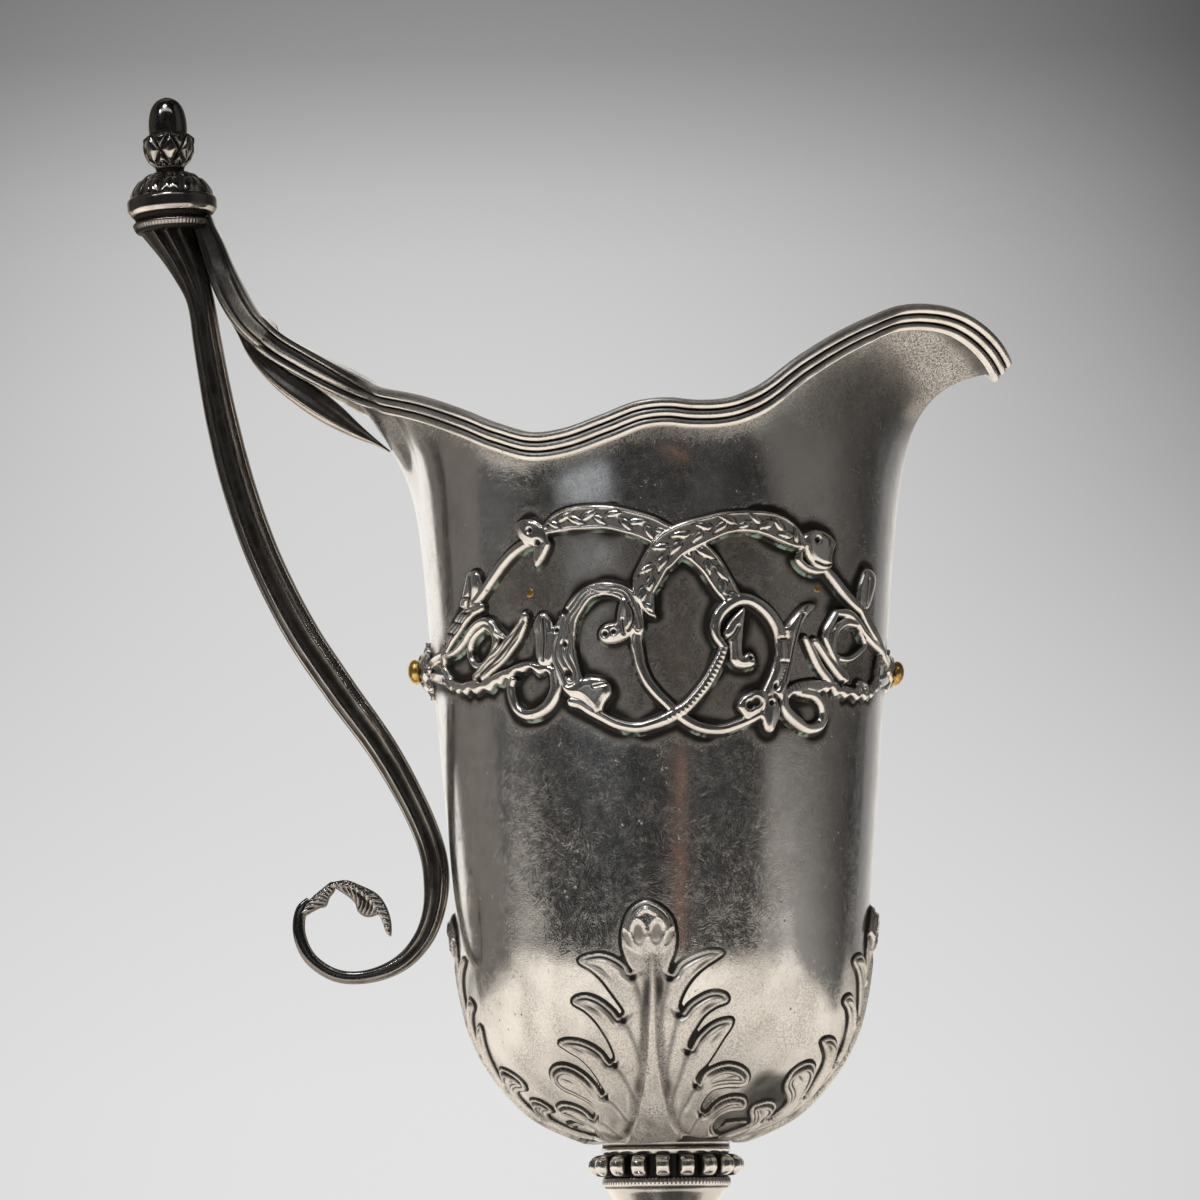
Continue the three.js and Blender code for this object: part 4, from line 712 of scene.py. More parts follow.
def laurel(along, side, wid):
    """Pointed leaves on short stems, set on both sides of a band: height and dark outline."""
    top, line = np.zeros(along.shape), np.zeros(along.shape)
    for shift in (-1, 0, 1):
        k = np.floor(along / 1.95 + 0.5) + shift
        sgn = np.where(k % 2 == 0, 1.0, -1.0)
        size = 0.82 + 0.36 * chance(k, 1)
        tilt = 0.22 + 0.50 * chance(k, 2)
        da = along - (k + 0.35 * (chance(k, 3) - 0.5)) * 1.95
        ds = side - sgn * (0.26 + 0.24 * chance(k, 4)) * np.maximum(wid - 0.3, 0.2)
        c, s = np.cos(tilt), np.sin(tilt)
        u, v = (da * c + ds * s * sgn) / size, (-da * s * sgn + ds * c) / size
        v = v + 0.10 * np.sin(u * 1.6)
        e = np.sqrt((u / 1.30) ** 2 + (v / (0.50 * (1 - 0.45 * np.clip(u / 1.3, -1, 1)))) ** 2)
        top = np.maximum(top, 0.32 * np.sqrt(np.maximum(0, 1 - e * e)) - 0.10 * np.exp(-((v / 0.10) ** 2)) * (e < 0.8))
        line = np.maximum(line, np.exp(-(((e - 1.20) / 0.20) ** 2)))
        stem = np.exp(-((v / 0.14) ** 2)) * smooth(-u, 0.9, 1.2) * smooth(u, -2.7, -2.2)
        top = np.maximum(top, 0.14 * stem)
    return top, line * (top < 0.06)


near_d = np.full(GU.shape, 6.0)
near_h = np.full(GU.shape, -1.0)
near_c = np.zeros(GU.shape)
# both ends run on as two wires under the rosettes
JOINTS = [("S", "end_a", 0.78, "r", [(51.2, 124.6, 0.6), (55, 123.9, 0.75), (60, 123.5, 0.85), (66.5, 123.4, 0.85)]),
          ("S", "end_b", 0.78, "r", [(49.8, 119.1, 0.65), (54, 119.6, 0.7), (60, 120.6, 0.75), (66.5, 121.2, 0.75)]),
          ("S", "end_c", 0.78, "r", [(-42.0, 124.6, 0.5), (-46, 124.4, 0.7), (-50, 124.2, 0.8), (-55.5, 124.0, 0.8)]),
          ("S", "end_d", 0.78, "r", [(-43.2, 120.5, 0.85), (-47, 121.0, 0.8), (-51, 121.6, 0.75), (-55.5, 121.9, 0.75)])]
for kind, name, level, form, pts in FRIEZE + JOINTS:
    p = np.array(pts, float)
    if kind == "S":
        line = spline(p, 0.5)
        w = window(su, sv, line, 4.6)
        d, wid, along, side = line_distance(GU[w], GV[w], line)
        under = smooth(side * (1 if name.endswith("_l") else -1), -0.1, 0.3)
        if name.startswith("rope"):
            wid = wid + 0.30 * under * np.sin(2 * np.pi * along / 2.9 + 0.9 * np.sin(along * 0.55))
        sd = d - wid
    else:
        poly = spline(p, 0.5, loop=True)[:-1]
        w = window(su, sv, poly, 4.6)
        sd = outline_distance(GU[w], GV[w], poly)
    inside = np.clip(-sd, 0, None)
    c = np.zeros(sd.shape)
    if form == "r" and kind == "S":
        h = level * (0.34 + 0.66 * np.sqrt(np.maximum(0, 1 - np.clip(d / np.maximum(wid, 0.2), 0, 1) ** 2.5)))
        if name.startswith("rope") or name == "ring_a":
            live = np.where(along < 15.5, 1.0, 0.0) if name == "ring_a" else (1 - under) * (1.0 if name == "rope_r" else 0.35)
            cut = 0.5 + 0.5 * np.cos(2 * np.pi * along / 0.80)
            h = h - 0.10 * live * cut * smooth(inside, 0.1, 0.3)
            c = np.maximum(c, 0.40 * live * smooth(cut, 0.55, 0.95) * smooth(inside, 0.1, 0.3))
    else:
        edge = dome(1 - inside / 0.55)
        h = level * (0.36 + 0.64 * edge)
        if kind == "S" and name.startswith("band"):
            field = smooth(inside, 0.36, 0.60)
            top, line_c = laurel(along, side, wid)
            h = h - 0.24 * field + top * field
            c = field * np.maximum(0.52 * (1 - smooth(top, 0.02, 0.14)), 0.85 * line_c)
        elif kind == "S":
            crown = smooth(inside, 0.25, 0.55)
            rel = side / np.maximum(wid, 0.3) + 0.10 * np.sin(along * 1.1)
            cuts = np.zeros(rel.shape)
            for at in (-0.52, -0.02, 0.46):
                cuts = np.maximum(cuts, np.exp(-(((rel - at) / 0.13) ** 2)))
            h = h - 0.24 * crown * cuts
            c = 0.72 * crown * cuts
        else:
            h = h + 0.22 * smooth(inside, 0.3, 1.5)
    h = np.where(sd > 0, level * 0.34 * np.exp(-np.maximum(sd, 0) / 0.15), h)
    over = h > near_h[w]
    near_c[w] = np.where(over, c, near_c[w])
    near_h[w] = np.maximum(near_h[w], h)
    near_d[w] = np.minimum(near_d[w], sd)
for u, v, r in PITS:
    d = np.hypot(GU - u, GV - v)
    near_h -= 0.55 * np.exp(-((d / r) ** 4))
    near_c = np.maximum(near_c, np.exp(-((d / r) ** 4)))
for pts in GROOVES:
    line = spline(np.array(pts, float), 0.3)
    w = window(su, sv, line, 1.2)
    d = line_distance(GU[w], GV[w], line)[0]
    near_h[w] -= 0.30 * np.exp(-((d / 0.24) ** 2))
    near_c[w] = np.maximum(near_c[w], 0.9 * np.exp(-((d / 0.24) ** 2)))
SKIRT = 0.55
near_h = np.maximum(near_h, 0.04 * (1 - smooth(near_d, 0.2, SKIRT)))
worn = 0.5 + 0.5 * ripple(GU / 0.9, GV / 0.9, GU * 0.3, 13)
near_c = np.maximum(near_c, 0.22 * smooth(worn, 0.5, 0.95) * (near_d < 0))
# dark line along every outline and over the skirt round it: partly oxide at the join, partly painted contact shadow
near_c = np.maximum(near_c, 0.98 * smooth(near_d, -0.16, 0.04))
gu_, gv_ = np.gradient(near_d, STEP)
below = smooth(-gv_, -0.1, 0.8)
near_v = 0.9 * below * smooth(near_d, -0.05, 0.10) * smooth(ripple(GU / 1.3, GV / 1.3, GU * 0, 11), -0.10, 0.45)
low = np.full(GU.shape, -0.15)
fv, fq, ft, lay = relief(near_d - SKIRT, near_h, low, GU, GV, STEP, on_body,
                         cav=(near_c, near_c * 0 + 1), ver=(near_v, near_v * 0), frost=(near_c * 0 + 0.1, near_c * 0))
make("frieze_near", fv, fq, ft, CAST, ["frieze_near_half"], "silver_cast", **lay)
make("frieze_far", fv * [-1, -1, 1], fq, ft, CAST, ["frieze_far_half"], "silver_cast", **lay)


# ------------------------------------------------------------------ acanthus leaves
LEAF_R0 = 30.0
_z = np.linspace(43.4, 90, 900)
_l = np.r_[0, np.cumsum(np.hypot(np.diff(_z), np.diff(body_r(_z))))]


def leaf_map(pts):
    """(x, z) in the front view to (angle times LEAF_R0, distance up the skin)."""
    p = np.asarray(pts, float)
    out = p.copy()
    out[:, 0] = np.arcsin(np.clip(p[:, 0] / body_r(p[:, 1]), -0.98, 0.98)) * LEAF_R0
    out[:, 1] = np.interp(p[:, 1], _z, _l)
    return out


def on_leaf(u, v, h):
    z = np.interp(v, _l, _z)
    a = u / LEAF_R0 - np.pi / 2
    r = body_r(z)
    slope = (body_r(z + 0.1) - body_r(z - 0.1)) / 0.2
    k = np.hypot(1, slope)
    r = r + dents(r * np.cos(a), r * np.sin(a), z)
    rr = r + h / k
    return np.stack([rr * np.cos(a), rr * np.sin(a), z - h * slope / k], axis=-1)


LSTEP = 0.20
outline = leaf_map(spline(np.array(LEAF_OUT, float), 0.35, loop=True)[:-1])
lu = np.arange(outline[:, 0].min() - 3.5, outline[:, 0].max() + 1.6, LSTEP)
lv = np.arange(0.35, outline[:, 1].max() + 1.4, LSTEP)
LU, LV = np.meshgrid(lu, lv, indexing="ij")
ld = outline_distance(LU, LV, outline)
fr = np.clip(-ld, 0, None)
LX, LZ = body_r(np.interp(LV, _l, _z)) * np.sin(LU / LEAF_R0), np.interp(LV, _l, _z)
# the upper edge of every lobe is rolled, with a thin lip, a dark hollow and a bright ridge; the lower edge is plain
rise = blur(smooth(np.gradient(ld, LSTEP)[1], -0.05, 0.60), 2)
lh = 0.30 + 0.36 * dome(1 - fr / 0.40)
lh = lh + rise * (0.34 * np.exp(-(((fr - 1.18) / 0.36) ** 2)) - 0.44 * np.exp(-(((fr - 0.58) / 0.30) ** 2)))
lh = np.where(ld > 0, 0.34 * np.exp(-np.maximum(ld, 0) / 0.20), lh)
lc = 0.78 * rise * np.exp(-(((fr - 0.58) / 0.28) ** 2))
ls = np.full(LU.shape, 0.34)
for pts in LEAF_VALLEYS:
    line = leaf_map(spline(np.array(pts, float), 0.5))
    d, _, along, _ = line_distance(LU, LV, line)
    k = np.exp(-((d / 0.70) ** 2)) * smooth(fr, 0.3, 1.0)
    lh -= 0.22 * k
    lc = np.maximum(lc, 0.50 * k)
    ls = np.maximum(ls, 0.80 * k)
    eye_d = np.hypot(LU - line[0, 0] * 0.97, LV - line[0, 1] + 0.9)
    k = np.exp(-((eye_d / 0.62) ** 4))
    lh += 0.16 * np.exp(-(((eye_d - 0.95) / 0.26) ** 2)) - 0.46 * k
    lc = np.maximum(lc, 0.95 * k)
for pts in LEAF_VEINS:
    line = leaf_map(spline(np.array(pts, float), 0.5))
    d, _, along, _ = line_distance(LU, LV, line)
    k = np.exp(-((d / 0.30) ** 2)) * smooth(fr, 0.05, 0.4) * np.exp(-(((along - 3.4) / 1.9) ** 2))
    lh -= 0.30 * k
    lc = np.maximum(lc, 0.66 * k)
# curls at the bottom carry a second and a third line inside their edge
curl = smooth(np.abs(LX + 1.0), 8.6, 10.4) * smooth(-LZ, -57.5, -56.0)
for at, deep in ((0.85, 0.26), (1.55, 0.20)):
    k = np.exp(-(((fr - at) / 0.20) ** 2)) * curl
    lh -= deep * k
    lc = np.maximum(lc, 0.8 * k)
# wedge-shaped midrib between two flutes
patina_l = 0.5 + 0.5 * ripple(LU / 0.8, LV / 1.6, LU * 0.2, 19)
rib = leaf_map(spline(np.array(LEAF_RIB[0], float), 0.5))
d = line_distance(LU, LV, rib)[0] * body_r(LZ) / LEAF_R0
half = curve([43.4, 44.5, 46, 48, 51, 55, 60, 66, 72, 76], [6.4, 4.7, 3.4, 2.45, 1.75, 1.15, 0.72, 0.45, 0.30, 0.2])(LZ)
on = smooth(-LZ, -75.2, -73.0) * smooth(fr, 0.0, 0.5)
flute = np.exp(-(((d - half - 0.55) / 0.95) ** 2)) * smooth(d - half, -0.10, 0.22)
stain_f = smooth(d - half, -0.05, 0.25) * (1 - smooth(d - half, 0.3 + 0.7 * patina_l, 2.0 + 0.9 * patina_l))
wedge = smooth(half - d, -0.10, 0.22)
lh += on * (0.34 * wedge + 0.16 * dome(d / half) * (d < half) - 0.52 * flute)
lh += 0.20 * on * smooth(-LZ, -53.5, -50.0) * np.exp(-(((d - half) / 0.24) ** 2))
lc = np.maximum(lc, on * stain_f * (0.40 + 0.26 * smooth(patina_l, 0.3, 0.9)))
# face of the midrib: lightened above, a painted highlight; darkened at its base, a painted dark reflection
lc = np.where(on * wedge > 0.5, -0.7 * smooth(LZ, 50.5, 53.0) + 0.34 * smooth(-LZ, -51.0, -48.0), lc)
ls = np.maximum(ls, on * np.maximum(1.0 * stain_f, 0.75 * wedge * smooth(-LZ, -52.0, -49.0)))
patina = 0.5 + 0.5 * ripple(LU / 1.1, LV / 1.1, LU * 0.2, 17)
lc = np.where(lc < 0, lc, np.maximum(lc, (0.12 + 0.40 * smooth(-LZ, -54.0, -45.0)) * smooth(patina, 0.25, 0.85)))
lf = 1 - smooth(LZ, 75.2, 77.0)
# knob on top, with four hollow lobes under it
e = ((LX + 0.65) / 4.25) ** 2 + ((LZ - 77.9) / 4.6) ** 2
knob = np.sqrt(np.maximum(0, 1 - e)) * smooth(LZ, 73.0, 76.5)
lh += 0.95 * knob
for x, z, a, b, lean_x in ((-2.15, 77.2, 1.22, 2.2, 0.05), (0.72, 77.3, 1.22, 2.2, -0.05), (-4.0, 76.4, 0.72, 1.6, 0.42), (2.7, 76.5, 0.72, 1.6, -0.42)):
    dx, dz = LX - x - lean_x * (LZ - z) * -1.0, LZ - z
    q = np.sqrt((dx / a) ** 2 + (dz / b) ** 2)
    lh += 0.16 * np.exp(-(((q - 1) / 0.16) ** 2)) - 0.34 * np.sqrt(np.maximum(0, 1 - q * q))
    lc = np.maximum(lc, 0.50 * smooth(1 - q, 0.1, 0.5))
# plain oval with a raised edge between two leaves at the bottom
q = np.hypot((LU / LEAF_R0 + math.radians(45.5)) * LEAF_R0 / 8.8, (LV - 6.1) / 3.3)
od = np.abs(q - 0.88) * 3.0 - 0.36
ld2 = np.minimum(ld, np.where(ld < 1.2, np.maximum(od, 0.9 - ld), od))
lh = np.where((od < 0.5) & (ld > 0.5), 0.42 * dome(np.clip(od + 0.36, 0, None) / 0.72), lh)
ld = ld2
lh = np.maximum(lh, 0.04 * (1 - smooth(ld, 0.2, SKIRT)))
# dark line round the leaf outline: partly oxide at the join, partly painted contact shadow
lc = np.maximum(lc, (0.66 + 0.30 * patina) * smooth(ld, -0.12, 0.06))
vv, qq, tt, lay = relief(ld - SKIRT, lh, np.full(LU.shape, -0.15), LU, LV, LSTEP, on_leaf,
                         cav=(lc, lc * 0 + 1), ver=(lc * 0, lc * 0), sand=(ls, ls), frost=(lf, lf))
for i, where in enumerate(("near", "spout", "far", "handle")):
    c, s = [(1, 0), (0, 1), (-1, 0), (0, -1)][i]
    turn = np.stack([vv[:, 0] * c - vv[:, 1] * s, vv[:, 0] * s + vv[:, 1] * c, vv[:, 2]], axis=1)
    make("acanthus_" + where, turn, qq, tt, CAST, ["acanthus_leaf_" + where], "silver_cast", **lay)


# ------------------------------------------------------------------ body
COLUMNS = 330
ang = 360.0 * np.arange(COLUMNS) / COLUMNS
zs = np.r_[43.4 + 6.6 * (np.arange(22) / 22) ** 1.3, np.arange(50.0, 72.0, 0.9), np.arange(72.0, 106.0, 1.5), np.arange(106.0, 139.9, 0.85)]
outer = [np.stack([np.full(COLUMNS, body_r(z)), np.full(COLUMNS, z)], axis=1) for z in zs]
for t in np.linspace(0, 1, 40):
    outer.append(np.stack(lip(ang, t), axis=1))
outer = np.array(outer)
d = np.gradient(outer, axis=0)
d /= np.linalg.norm(d, axis=2, keepdims=True)
inner = outer + np.stack([-d[:, :, 1], d[:, :, 0]], axis=2) * WALL
edge_mid = (outer[-1] + inner[-1]) / 2 + d[-1] * 0.22
keep = np.r_[np.arange(len(outer) - 1, len(outer) - 40, -2), np.arange(len(zs) - 1, 3, -3)]
rows = np.concatenate([outer, edge_mid[None], inner[keep], np.stack([np.full(COLUMNS, 9.0), np.full(COLUMNS, 44.6)], axis=1)[None]])
co, si = np.cos(np.radians(ang)), np.sin(np.radians(ang))
x, y, z = rows[:, :, 0] * co, rows[:, :, 0] * si, rows[:, :, 1]
push = dents(x, y, z) * smooth(-z, -166, -150)
x, y = x + push * co, y + push * si
bv, bq, bt = tube(np.stack([x, y, z], axis=-1))


def look_up(field, axis_u, axis_v, u, v, outside):
    i = np.clip(((u - axis_u[0]) / (axis_u[1] - axis_u[0])).round().astype(int), 0, len(axis_u) - 1)
    j = np.clip(((v - axis_v[0]) / (axis_v[1] - axis_v[0])).round().astype(int), 0, len(axis_v) - 1)
    hit = (u > axis_u[0]) & (u < axis_u[-1]) & (v > axis_v[0]) & (v < axis_v[-1])
    return np.where(hit, field[i, j], outside)


far_d = blur(near_d, 2)
bx, by, bz = bv.T
a = np.arctan2(by, bx)
near_s = ((a + np.pi / 2 + np.pi) % (2 * np.pi) - np.pi) * RELIEF_R
far_s = ((a - np.pi / 2 + np.pi) % (2 * np.pi) - np.pi) * RELIEF_R
dist = np.minimum(look_up(far_d, su, sv, near_s, bz, 6.0), look_up(far_d, su, sv, far_s, bz, 6.0))
skin = np.arange(len(bv)) < len(outer) * COLUMNS
spotty = 0.5 + 0.5 * ripple(bx / 5.0, by / 5.0, bz / 5.0, 21)
blotch = 0.5 + 0.5 * ripple(bx / 1.7, by / 1.7, bz / 1.7, 23)
# painted shadow on the body round the frieze, patchy, partly oxide
shade = 0.92 * np.exp(-np.maximum(dist, 0) / 1.15) + 0.42 * np.exp(-np.maximum(dist, 0) / 3.4)
cav_b = np.where(skin, shade * (0.32 + 0.90 * smooth(0.55 * spotty + 0.45 * blotch, 0.32, 0.70)), 0.10)
lv_b = np.interp(bz, _z, _l)
# painted shadow on the body round each acanthus leaf
for k in range(4):
    u = ((a + np.pi / 2 - k * np.pi / 2 + np.pi) % (2 * np.pi) - np.pi) * LEAF_R0
    dl = np.where(bz < 86, look_up(ld, lu, lv, u, lv_b, 6.0), 6.0)
    cav_b = np.maximum(cav_b, np.where(skin, 0.62 * np.exp(-np.maximum(dl, 0) / 0.9) * (0.55 + 0.6 * blotch), 0.0))
rim_gap = np.tile(np.r_[np.linspace(1, 0, len(outer))], (COLUMNS, 1)).T.ravel()
wire_line = np.zeros(len(bv))
lip_rows = np.arange(len(outer) * COLUMNS) // COLUMNS
at_rim = np.clip((lip_rows - (len(outer) - 40)) / 39.0, 0, 1)
wire_line[:len(outer) * COLUMNS] = at_rim
# painted shade on the top of the lip, under the rim wire
cav_b = np.maximum(cav_b, np.where(skin, 0.60 * smooth(wire_line, 0.86, 0.95), 0.0))
# dull brown film between the bands of the frieze, under the spout and at the bottom
covered = near_d < 0.3
tops = np.where(covered.any(axis=1), sv[len(sv) - 1 - covered[:, ::-1].argmax(axis=1)], 0.0)
lows = np.where(covered.any(axis=1), sv[covered.argmax(axis=1)], 999.0)
wide_top = np.array([tops[max(0, i - 9):i + 10].max() for i in range(len(su))])
wide_low = np.array([lows[max(0, i - 9):i + 10].min() for i in range(len(su))])
haze_b = np.zeros(len(bv))
for s_ in (near_s, far_s):
    hi_z, lo_z = np.interp(s_, su, wide_top, 0.0, 0.0), np.interp(s_, su, wide_low, 999.0, 999.0)
    haze_b = np.maximum(haze_b, smooth(hi_z - bz, -1.2, 1.5) * smooth(bz - lo_z, -2.0, 1.0))
haze_b = 0.80 * haze_b * (1.0 - 0.30 * smooth(0.6 * blotch + 0.4 * spotty, 0.45, 0.75))
haze_b = np.maximum(haze_b, 0.16 * smooth(0.6 * blotch + 0.4 * spotty, 0.48, 0.85))
off_spout = np.abs(np.degrees(a))
mouth = smooth(-off_spout, -62.0, -34.0) * smooth(wire_line, 0.28, 0.62)
haze_b = np.maximum(haze_b, 0.62 * mouth)
haze_b = np.maximum(haze_b, 0.40 * smooth(wire_line, 0.55, 0.85))
haze_b = np.maximum(haze_b, 0.42 * smooth(-bz, -74.0, -47.0) * (0.6 + 0.6 * spotty))
haze_b = np.maximum(haze_b, 0.22 * smooth(-bz, -84.0, -66.0) * smooth(0.5 * spotty + 0.5 * blotch, 0.40, 0.75))
# painted dark reflection low in the pockets between two leaves, on one side of each pocket
for turn in (90.0, -90.0):
    phi = (np.degrees(a) + turn + 180.0) % 360.0 - 180.0
    low_z = 47.3 + 7.6 * smooth(phi, 14.0, 42.0) + 2.0 * (blotch - 0.5) + 1.2 * (spotty - 0.5)
    pocket = smooth(low_z - bz, -1.7, 2.0) * smooth(phi, 8.0, 16.0) * smooth(-phi, -88.0, -80.0)
    cav_b = np.where(skin, np.maximum(cav_b, pocket * (0.56 + 0.26 * blotch)), cav_b)
sand_b = np.maximum(0.85 * mouth * smooth(wire_line, 0.42, 0.66), 0.55 * smooth(wire_line, 0.66, 0.80))
sand_b = np.maximum(sand_b, 0.52 * smooth(-bz, -80.0, -52.0) * smooth(0.6 * blotch + 0.4 * spotty, 0.3, 0.8))
haze_b, sand_b = np.where(skin, haze_b, 0.25), np.where(skin, sand_b, 0.0)
make("body", bv, bq, bt, SHEET, ["body_shell"], "silver_sheet", cav=cav_b, ver=0.0, haze=haze_b, sand=sand_b)

for i, (s, z) in enumerate([(PINS[0][0], PINS[0][1], ), (PINS[0][0], PINS[0][1]), PINS[1], PINS[1]]):
    a = s / RELIEF_R - np.pi / 2 + (np.pi if i % 2 else 0)
    r = float(skin_r(np.array([z]), np.degrees(np.array([a])))[0])
    prof = [(0.74, -1.0), (0.75, -0.05), (0.70, 0.02), (0.52, 0.055), (0.28, 0.07), (0.05, 0.075)]
    v, q, t = turned(prof, 24)
    out_, up_ = np.array([math.cos(a), math.sin(a), 0]), np.array([0, 0, 1.0])
    side_ = np.cross(up_, out_)
    v = out_ * (r + v[:, 2:3]) + side_ * v[:, 0:1] + up_ * (z + v[:, 1:2])
    make(f"pin_{i + 1}", v, q, t, BRASS, [f"brass_pin_{i + 1}"], "brass", cav=0.35, ver=0.0)


# ------------------------------------------------------------------ rim wire with three reeds
near_edge = []
for deg in np.r_[2, 5, np.arange(8, 154, 3.0)]:
    r, z = float(rim_r(deg)), float(rim_z(deg))
    near_edge.append((r * math.cos(math.radians(deg)), -r * math.sin(math.radians(deg)), z, 0.0, float(lean(deg))))
near_edge += RAIL
rows = near_edge[::-1] + [(float(rim_r(0)), 0.0, float(rim_z(0)), 0.0, float(lean(0)))] + [(p[0], -p[1], *p[2:]) for p in near_edge]
path = spline(np.array(rows), 0.5)
P = path[:, :3]
T = np.gradient(P, axis=0)
T /= np.linalg.norm(T, axis=1, keepdims=True)
flat = np.stack([T[:, 1], -T[:, 0], 0 * T[:, 0]], axis=1)
flat /= np.linalg.norm(flat, axis=1, keepdims=True)
b = np.radians(path[:, 4:5])
down = -np.sin(b) * flat - np.cos(b) * np.array([[0, 0, 1.0]])
down -= T * (down * T).sum(axis=1, keepdims=True)
down /= np.linalg.norm(down, axis=1, keepdims=True)
outw = np.cos(b) * flat - np.sin(b) * np.array([[0, 0, 1.0]])
outw -= T * (outw * T).sum(axis=1, keepdims=True)
outw -= down * (outw * down).sum(axis=1, keepdims=True)
outw /= np.linalg.norm(outw, axis=1, keepdims=True)
rings, cavs = [], []
wob = ripple(P[:, 0] / 1.1, P[:, 1] / 1.1, P[:, 2] / 1.1, 31) * 0.03
sweep = np.sin(np.linspace(-0.97, 0.97, 13) * math.pi / 2)
for i in range(len(path)):
    depth = path[i, 3]
    k = float(smooth(depth, 0.2, 2.0))
    marks = np.array([0.0, 1 / 3 - 0.11 * k, 2 / 3 + 0.06 * k, 1.0]) * WIRE_W
    face_b, face_n, face_c = [], [], []
    for j in range(3):
        w_ = marks[j + 1] - marks[j]
        face_b.append(marks[j] + (0.5 + 0.5 * sweep) * w_)
        face_n.append(0.78 + 0.70 * np.sqrt(np.maximum(0.0, 1 - sweep**2)) * min(1.0, w_ / 1.5))
        # the grooves between reeds hold oxide; the upper half of every reed is painted shade; on the rails the whole
        # wire is darker
        up_c, low_c = (0.20 if j == 0 else 0.90), (0.20 if j == 2 else 0.90)
        groove = np.where(sweep < 0, up_c, low_c) * smooth(np.abs(sweep), 0.52, 0.92)
        face_c.append(np.maximum(groove, (0.52 + 0.10 * k) * smooth(-sweep, -0.10, 0.45) + 0.34 * k))
    bb = np.r_[np.concatenate(face_b), WIRE_W - 0.12, WIRE_W - 0.30, WIRE_W * 0.66, WIRE_W * 0.33, 0.12, -0.04]
    nn = np.r_[np.concatenate(face_n) + wob[i], 0.40, -depth + 0.05, -depth, -depth, -depth + 0.05, 0.40]
    rings.append(P[i] + down[i] * bb[:, None] + outw[i] * (nn[:, None] - 0.86))
    cavs.append(np.r_[np.concatenate(face_c), 0.5, 0.3, 0.3, 0.3, 0.1, 0.0])
v, q, t = tube(rings)
make("rim_wire_reeds", v, q, t, CAST, ["rim_wire"], "silver_cast", cav=np.r_[np.array(cavs).ravel(), 0.5, 0.5], ver=0.0)


# ------------------------------------------------------------------ handle bars
def bar(rows, section, step=0.55, seed=5, wobble=0.03):
    """Bar along a line in the side view. section(u, row, z) gives (half width share, groove depth, cavity)."""
    path = spline(np.array([(x, z, t, w) for x, z, t, w in rows]), step)
    xz = path[:, :2]
    tan = np.gradient(xz, axis=0)
    tan /= np.linalg.norm(tan, axis=1, keepdims=True)
    nor = np.stack([tan[:, 1], -tan[:, 0]], axis=1)
    k = 46
    u = -np.cos(np.pi * (np.arange(k) + 0.5) / k)
    rings, cav = [], []
    for i in range(len(path)):
        t, w = path[i, 2], path[i, 3]
        y, c = section(u, t, w, xz[i, 1], i / (len(path) - 1))
        a, b = np.r_[u, u[::-1]] * t / 2, np.r_[y, -y[::-1]]
        n = ripple(xz[i, 0] / 1.4 + 0 * a, b / 1.4, xz[i, 1] / 1.4 + a, seed) * wobble
        s = 1 + n / max(t / 2, 0.5)
        rings.append(np.stack([xz[i, 0] + nor[i, 0] * a * s, b * s, xz[i, 1] + nor[i, 1] * a * s], axis=1))
        cav.append(np.r_[c, c[::-1]])
    v, q, tr = tube(rings)
    return v, q, tr, np.r_[np.array(cav).ravel(), 0.3, 0.3]


def full(u, w, power):
    return w / 2 * np.maximum(1e-4, 1 - np.abs(u) ** power) ** (1 / power)


def fluted(u, t, w, z, f):
    """Wide flute in the middle, a ridge, a narrow flute and the rounded edge; four flutes at the head."""
    y = full(u, w, 2.7)
    au = np.abs(u)
    plain = (np.where(au < 0.44, np.cos(au / 0.44 * np.pi / 2) ** 0.8, 0.0)
             + 0.75 * np.where((au > 0.5) & (au < 0.86), np.sin((au - 0.5) / 0.36 * np.pi), 0.0))
    head = np.abs(np.sin((u * 0.5 + 0.5) * np.pi * 4)) ** 0.8
    k = smooth(z, 184.0, 192.0)
    g = plain * (1 - k) + head * k
    amount = (0.085 * t + 0.10) * smooth(t, 2.3, 3.6)
    c = 0.70 * g - 0.85 * (1 - smooth(g, 0.0, 0.30)) * (0.72 + 0.28 * math.sin(z * 0.83) * math.sin(z * 0.37 + 1.0))
    c = c + (0.34 - c) * smooth(au, 0.90, 0.945)
    return np.maximum(y - amount * g, 0.05), c * smooth(t, 1.6, 3.2)


def reeded(u, t, w, z, f):
    """Near face of the reeded rail carried on: a narrow reed, a broad one and a narrow one."""
    y = full(u, w, 5.0)
    hollow = smooth(z, 189.0, 196.0)
    top = np.zeros(u.shape)
    c = np.zeros(u.shape)
    for lo, hi in ((-1.0, -0.46), (-0.46, 0.56), (0.56, 1.0)):
        k = np.clip((u - lo) / (hi - lo) * 2 - 1, -1, 1)
        on = (u >= lo) & (u < hi)
        round_ = 0.62 * np.sqrt(np.maximum(0, 1 - k * k)) * min(1.0, (hi - lo) / 0.6)
        sunk = 0.62 - 0.55 * np.sqrt(np.maximum(0, 1 - k * k)) if hi - lo > 0.8 else round_
        top = np.where(on, (1 - hollow) * round_ + hollow * sunk, top)
        edge = smooth(np.abs(k), 0.62, 0.95)
        c = np.where(on, (1 - hollow) * 0.8 * edge + hollow * (0.55 * (1 - edge) if hi - lo > 0.8 else 0.15), c)
    c = np.where(np.abs(u) > 0.93, -0.25, np.where(c < 0.08, -0.12, c))
    c = np.where(c < 0.3, c - 0.45 * (1 - smooth(z, 182.0, 192.0)), c)
    return np.maximum(np.minimum(y, w / 2 - 0.62 + top), 0.05), c


